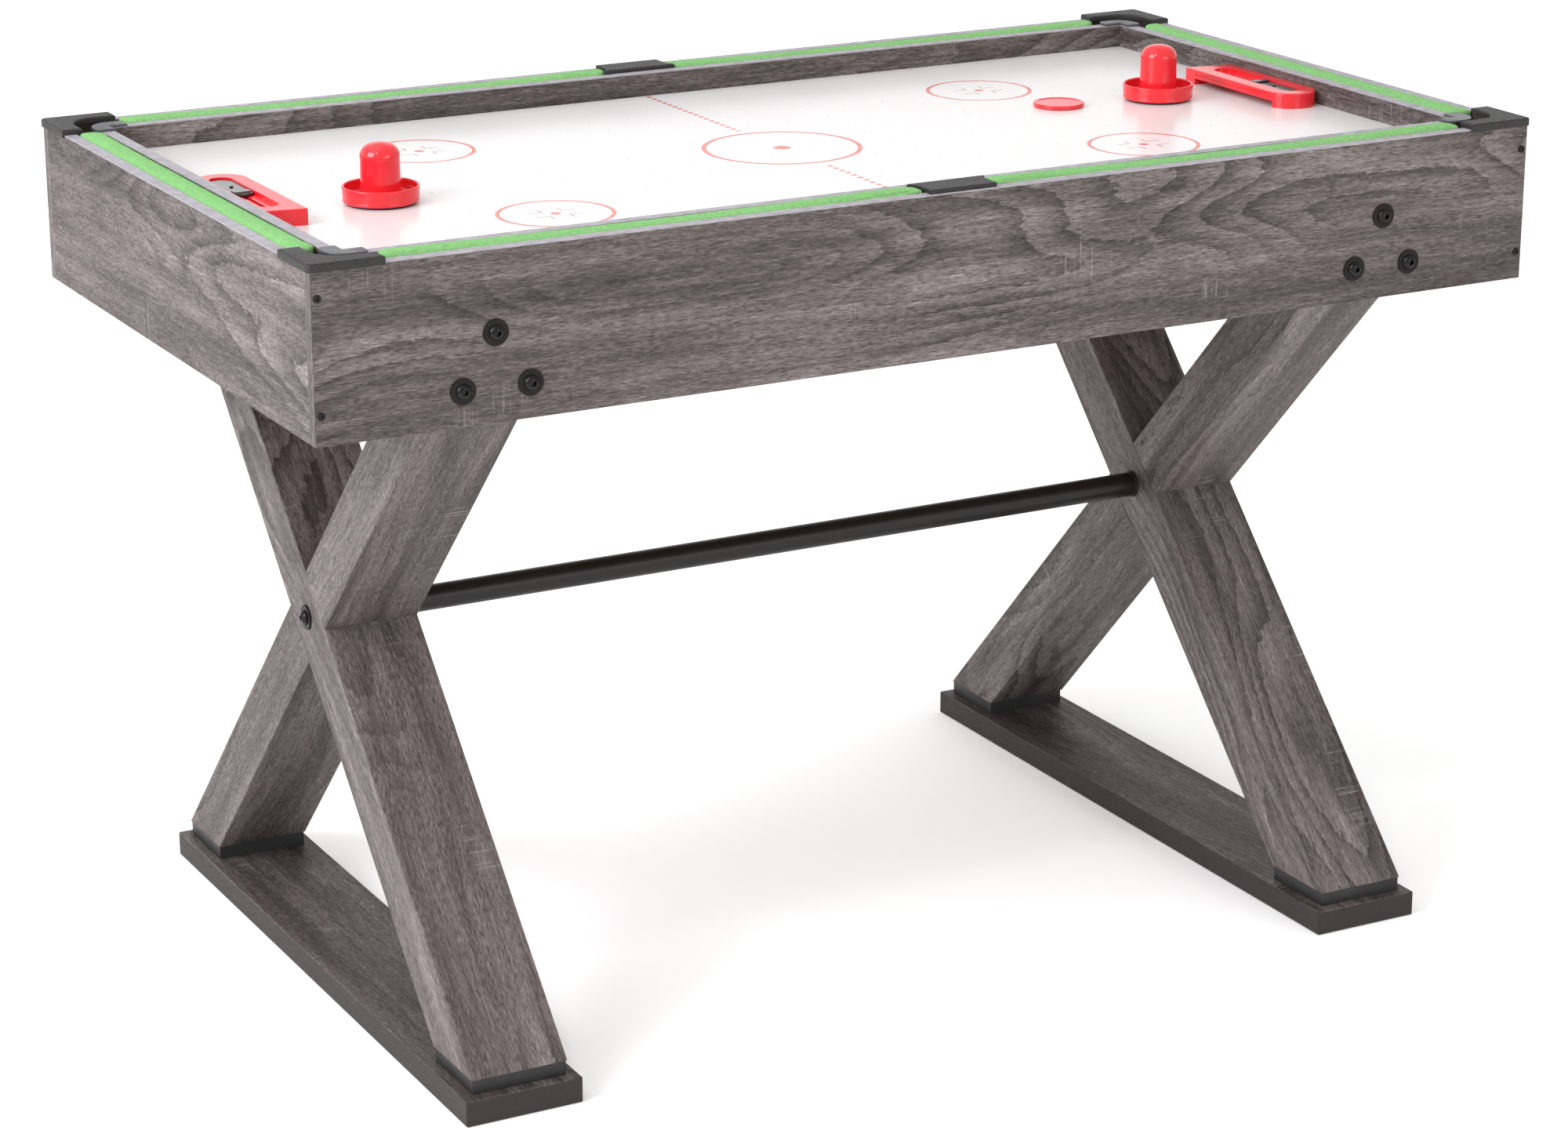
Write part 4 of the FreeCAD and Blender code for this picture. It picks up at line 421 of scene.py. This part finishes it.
def playing_board():
    """White lacquered board, printed with rings, spots and a dashed middle line."""
    graph = Graph("playfield_white")
    x, y, _ = graph.split(graph.place)
    centre = plan_distance(graph, x, y)
    fx = graph.math("SUBTRACT", graph.math("ABSOLUTE", x), FACE_OFF[0])
    fy = graph.math("SUBTRACT", graph.math("ABSOLUTE", y), FACE_OFF[1])
    face = plan_distance(graph, fx, fy)
    marks = graph.math("MAXIMUM", ring_mask(graph, centre, *CENTRE_RING),
                       graph.math("LESS_THAN", centre, CENTRE_DOT))
    marks = graph.math("MAXIMUM", marks, ring_mask(graph, face, *FACE_RING))
    marks = graph.math("MAXIMUM", marks, graph.math("LESS_THAN", face, FACE_DOT))
    turn = graph.math("FRACT", graph.math("DIVIDE", y, DASH_PITCH))
    dash = graph.math("GREATER_THAN", turn, DASH_GAP)
    line = graph.math("LESS_THAN", graph.math("ABSOLUTE", x), DASH_HALF_WIDTH)
    outside = graph.math("GREATER_THAN", centre, CENTRE_RING[0] + DASH_CLEAR)
    line = graph.math("MULTIPLY", graph.math("MULTIPLY", line, dash), outside)
    marks = graph.math("MAXIMUM", marks, line)
    worn = graph.noise(graph.place, 160.0, 3.0)
    ink = graph.mix(graph.level(worn, 0.4, 0.75), INK, WORN_INK)
    ground = mottle(graph, BOARD_WHITE, 0.015, 3.0)
    faint = graph.math("MULTIPLY", hook_marks(graph, fx, fy), 0.85)
    colour = graph.mix(marks, graph.mix(faint, ground, FAINT_INK), ink)
    scuff = graph.noise(graph.stretch(graph.place, (9.0, 5.0, 1.0)), 1.0, 4.0, 0.6)
    return graph.finish(colour, graph.level(scuff, 0.35, 0.7, 0.22, 0.28),
                        graph.bump(scuff, 0.00002, 0.2), Specular_IOR_Level=0.42)


# ---------------------------------------------------------------- finishes on the CAD nodes

LEG_LEAN = math.radians(46.1)
BAND_THICK = 0.0011
RED = (0.78, 0.018, 0.028)
GREEN = (0.192, 0.420, 0.148)
BAND_GREY = (0.345, 0.322, 0.352)
CAP_BLACK = (0.024, 0.0205, 0.019)
TRIM_SLATE = (0.060, 0.061, 0.068)
SLIDER_BLACK = (0.012, 0.011, 0.012)
TUBE_BLACK = (0.011, 0.009, 0.008)
BOLT_BLACK = (0.006, 0.005, 0.005)
WASHER_BLACK = (0.009, 0.007, 0.006)
PLASTIC_BLACK = (0.014, 0.013, 0.013)
RUBBER_BLACK = (0.011, 0.011, 0.012)
FELT_BLACK = (0.012, 0.012, 0.013)
ZINC = (0.62, 0.61, 0.58)
FIBRE_BROWN = (0.24, 0.15, 0.085)


def leg_grain(name):
    """Turn that lays a leg board's length along X, from the way the board leans."""
    lean = LEG_LEAN if name.endswith("long_board") else -LEG_LEAN
    return CROSSWISE @ Matrix.Rotation(-lean, 3, "X")


def paint(material, *names):
    """Give CAD nodes a material."""
    for name in names:
        for slot in NODES[name].material_slots:
            slot.material = material


def finish_boards():
    """Every oak board gets its own print, so no two show the same grain."""
    grains = {name: LENGTHWISE for name in ("apron_front", "apron_rear", "hockey_wall_front",
                                            "hockey_wall_rear")}
    grains.update({name: CROSSWISE for name in ("apron_left", "apron_right",
                                                "hockey_wall_left", "hockey_wall_right")})
    grains.update({name: leg_grain(name) for name in NODES
                   if name.startswith("leg_") and name.endswith("board")})
    for seed, name in enumerate(sorted(grains), 1):
        paint(wood(f"oak_{name}", grains[name], middle(name), seed), name)
    for seed, name in enumerate(("foot_left", "foot_right"), 21):
        paint(foot_wood(f"oak_{name}", middle(name), seed), name)
    for name in ("apron_edge_bands", "hockey_edge_bands"):
        paint(banding(name, BAND_GREY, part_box(name)[1][2]), name)


def finish_plastics():
    paint(leather_grain("cap_plastic", CAP_BLACK), "corner_caps", "side_caps")
    paint(moulded("trim_plastic", TRIM_SLATE, 0.40, coat=0.1), "hockey_corner_trims")
    paint(moulded("red_plastic", RED, 0.15, coat=0.1), "goal_left", "goal_right",
          "pusher_left", "pusher_right", "puck")
    paint(moulded("slider_plastic", SLIDER_BLACK, 0.15, coat=0.4),
          "score_slider_left", "score_slider_right")


def finish_metals():
    paint(coated_metal("black_metal", TUBE_BLACK, 0.36, gloss=0.32), "stretcher_tube",
          "fan_guard")
    paint(coated_metal("black_bolt", BOLT_BLACK, 0.24, 0.00003, 0.25), "frame_bolts",
          "cabinet_screws")
    paint(coated_metal("black_washer", WASHER_BLACK, 0.42, 0.00004, 0.18), "bolt_washers")
    paint(bare_metal("zinc_steel", ZINC, 0.30), "leg_inserts", "foot_screws",
          "hockey_screws", "power_inlet", "fan_motor")


def finish_hidden_parts():
    paint(moulded("black_plastic", PLASTIC_BLACK, 0.45, 0.00008), "plinth_blocks",
          "stretcher_end_plugs", "fan_frame", "fan_rotor", "control_box", "power_switch",
          "lead_clips")
    paint(moulded("cable_rubber", RUBBER_BLACK, 0.6, 0.00006), "fan_lead")
    paint(wood("raw_pine", LENGTHWISE, middle("ledge_battens"), 31, PINE, 0.06),
          "ledge_battens", "cushion_rails", "leg_dowels", "playfield_battens")
    paint(moulded("fibre_board", FIBRE_BROWN, 0.75, 0.0002, 1400.0, spread=0.2),
          "plenum_floor")
    paint(felt("black_felt", FELT_BLACK), "pusher_felt_left", "pusher_felt_right")


def finish_nodes():
    """A finish for every CAD node that stays visible."""
    finish_boards()
    finish_plastics()
    paint(playing_board(), "playfield")
    finish_metals()
    finish_hidden_parts()


# ---------------------------------------------------------------- cushions

CUSHIONS = sorted(n for n in NODES if n.startswith("cushion_") and n != "cushion_rails")
CLOTH_QUALITY = 5
CELL = 0.0058
WELD = 0.00001
FLAT = math.radians(1)
SHRINK = 0.0009
SIDE_SWELL = 0.0011
TOP_SWELL = 0.0031
SIM_FRAMES = 24
PRESSURE = 5.5


def mesh_piece(name, mesh, material, body):
    """A new piece in the scene, riding on a body."""
    piece = bpy.data.objects.new(name, mesh)
    bpy.context.scene.collection.objects.link(piece)
    mesh.materials.clear()
    mesh.materials.append(material)
    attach(piece, body)
    return piece


def apply_modifiers(piece):
    """Turn a piece's modifiers into plain mesh."""
    graph = bpy.context.evaluated_depsgraph_get()
    mesh = bpy.data.meshes.new_from_object(piece.evaluated_get(graph))
    old = piece.data
    piece.modifiers.clear()
    piece.data = mesh
    bpy.data.meshes.remove(old)


def inflate(piece):
    """Swell a closed shape as cloth under pressure: a little sideways, where its neighbours
    hold it, and more upwards, where it is free to crown."""
    start = [vertex.co.copy() for vertex in piece.data.vertices]
    cloth = piece.modifiers.new("cloth", "CLOTH")
    cloth.settings.use_pressure = True
    cloth.settings.uniform_pressure_force = PRESSURE
    cloth.settings.quality = CLOTH_QUALITY
    cloth.settings.effector_weights.gravity = 0
    cloth.collision_settings.use_collision = False
    cloth.point_cache.frame_start = 1
    cloth.point_cache.frame_end = SIM_FRAMES
    for number in range(1, SIM_FRAMES + 1):
        bpy.context.scene.frame_set(number)
    apply_modifiers(piece)
    bpy.context.scene.frame_set(1)
    for vertex, origin in zip(piece.data.vertices, start):
        move = vertex.co - origin
        side = Vector((move.x, move.y, 0))
        if side.length > SIDE_SWELL:
            side = side.normalized() * SIDE_SWELL
        rise = max(-SIDE_SWELL, min(TOP_SWELL, move.z))
        vertex.co = origin + side + Vector((0, 0, rise))


def cut_grid(mesh):
    """Weld a solid's split corners and cut it into small cells, so that cloth has points to move."""
    shape = bmesh.new()
    shape.from_mesh(mesh)
    bmesh.ops.remove_doubles(shape, verts=shape.verts, dist=WELD)
    bmesh.ops.dissolve_limit(shape, angle_limit=FLAT, verts=shape.verts, edges=shape.edges)
    for axis in range(3):
        places = [vertex.co[axis] for vertex in shape.verts]
        low, size = min(places), max(places) - min(places)
        steps = round(size / CELL)
        facing = Vector([float(axis == i) for i in range(3)])
        for step in range(1, steps):
            bmesh.ops.bisect_plane(shape, geom=shape.verts[:] + shape.edges[:] + shape.faces[:],
                                   dist=WELD, plane_co=facing * (low + size * step / steps),
                                   plane_no=facing)
    shape.to_mesh(mesh)
    shape.free()


def shrink(mesh, amount):
    """Move every point inwards, to leave room for the swell."""
    moved = [vertex.co - vertex.normal * amount for vertex in mesh.vertices]
    for vertex, place in zip(mesh.vertices, moved):
        vertex.co = place


def cushion(name, material):
    """A cloth-wrapped rubber cushion, grown from the CAD solid as cloth under pressure."""
    mesh = NODES[name].data.copy()
    piece = mesh_piece(f"{name}_cloth", mesh, material, "table")
    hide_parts(name)
    cut_grid(piece.data)
    shrink(piece.data, SHRINK)
    inflate(piece)
    piece.modifiers.new("finer", "SUBSURF").levels = 1
    apply_modifiers(piece)
    piece.data.materials.clear()
    piece.data.materials.append(material)
    for polygon in piece.data.polygons:
        polygon.use_smooth = True
    return piece


# ---------------------------------------------------------------- stage, light, camera

FLOOR_GLOW = 0.22
FLOOR_SIDE = 14.0
FLOOR_DEPTH = 9.0
FLOOR_RISE = 7.0
FLOOR_BEND = 2.5
FLOOR_DROP = 0.0005
BEND_STEPS = 14
PAPER_WHITE = (0.97, 0.97, 0.97)
AMBIENT = 0.80
TABLE_TOP = CAD_BOX[1][2]

# Each softbox: name, place, height it is aimed at, size, power in watts, colour.
SOFTBOXES = (
    ("key", (-3.8, -0.6, 2.5), TABLE_TOP / 2, (2.4, 2.2), 138, (0.92, 0.935, 1.0)),
    ("fill", (1.2, -4.6, 1.6), TABLE_TOP / 2, (2.6, 1.8), 38, (1.0, 0.96, 0.92)),
    ("overhead", (-1.2, 0.6, 3.8), TABLE_TOP, (3.6, 2.6), 22, (1, 1, 1)),
    ("highlight", (-2.0, -1.6, 3.4), TABLE_TOP, (0.24, 0.24), 13, (1, 1, 1)),
)


def stage_floor():
    """A pale floor that curves up behind the table."""
    profile = [Vector((0, -FLOOR_SIDE, 0)), Vector((0, FLOOR_DEPTH - FLOOR_BEND, 0))]
    for i in range(1, BEND_STEPS + 1):
        angle = i / BEND_STEPS * math.pi / 2
        profile.append(Vector((0, FLOOR_DEPTH - FLOOR_BEND + FLOOR_BEND * math.sin(angle),
                               FLOOR_BEND - FLOOR_BEND * math.cos(angle))))
    profile.append(Vector((0, FLOOR_DEPTH, FLOOR_RISE)))
    drop = Vector((0, 0, -FLOOR_DROP))
    vertices = [point + drop + Vector((x, 0, 0)) for point in profile
                for x in (-FLOOR_SIDE, FLOOR_SIDE)]
    faces = [(2 * i, 2 * i + 1, 2 * i + 3, 2 * i + 2) for i in range(len(profile) - 1)]
    mesh = bpy.data.meshes.new("floor")
    mesh.from_pydata(vertices, [], faces)
    for polygon in mesh.polygons:
        polygon.use_smooth = True
    floor = bpy.data.objects.new("floor", mesh)
    bpy.context.scene.collection.objects.link(floor)
    graph = Graph("floor_paint")
    paper = mottle(graph, PAPER_WHITE, 0.01, 0.6)
    mesh.materials.append(graph.finish(paper, 0.9, Emission_Color=(1, 1, 1, 1),
                                       Emission_Strength=FLOOR_GLOW))


def soft_light(name, place, aim, size, power, colour):
    """An area light aimed at the table's middle, at a given height."""
    data = bpy.data.lights.new(name, "AREA")
    data.shape = "RECTANGLE"
    data.size, data.size_y = size
    data.energy = power
    data.color = colour
    light = bpy.data.objects.new(name, data)
    light.location = place
    light.rotation_euler = (Vector((0, 0, aim)) - Vector(place)).to_track_quat("-Z", "Y").to_euler()
    bpy.context.scene.collection.objects.link(light)


def lights():
    """A cool softbox on the left, one overhead, a weak warm fill in front and a small lamp."""
    world = bpy.data.worlds.new("studio")
    world.use_nodes = True
    world.node_tree.nodes["Background"].inputs["Color"].default_value = (1, 1, 1, 1)
    world.node_tree.nodes["Background"].inputs["Strength"].default_value = AMBIENT
    bpy.context.scene.world = world
    bpy.context.scene.view_settings.view_transform = "Standard"
    for softbox in SOFTBOXES:
        soft_light(*softbox)


LENS = 91.43
SENSOR = 36.0
SHIFT = (0.0367, 0.0020)
CAMERA_PLACE = (-1.814, -3.382, 1.577)
CAMERA_TURN = (17.84, -27.36, -0.33)  # look down, azimuth and roll, in degrees
CLIP_END = 100


def camera():
    """The camera stands to the left of the front, looking down at the table."""
    elevation, azimuth, roll = (math.radians(angle) for angle in CAMERA_TURN)
    turn = Matrix.Rotation(azimuth, 4, "Z") @ Matrix.Rotation(math.pi / 2 - elevation, 4, "X") \
        @ Matrix.Rotation(roll, 4, "Z")
    data = bpy.data.cameras.new("camera")
    data.lens = LENS
    data.sensor_width = SENSOR
    data.shift_x, data.shift_y = SHIFT
    data.clip_end = CLIP_END
    eye = bpy.data.objects.new("camera", data)
    eye.matrix_world = Matrix.Translation(CAMERA_PLACE) @ turn
    bpy.context.scene.collection.objects.link(eye)
    bpy.context.scene.camera = eye


camera()
finish_nodes()
GREEN_FELT = felt("green_felt", GREEN)
for cushion_name in CUSHIONS:
    cushion(cushion_name, GREEN_FELT)
stage_floor()
lights()
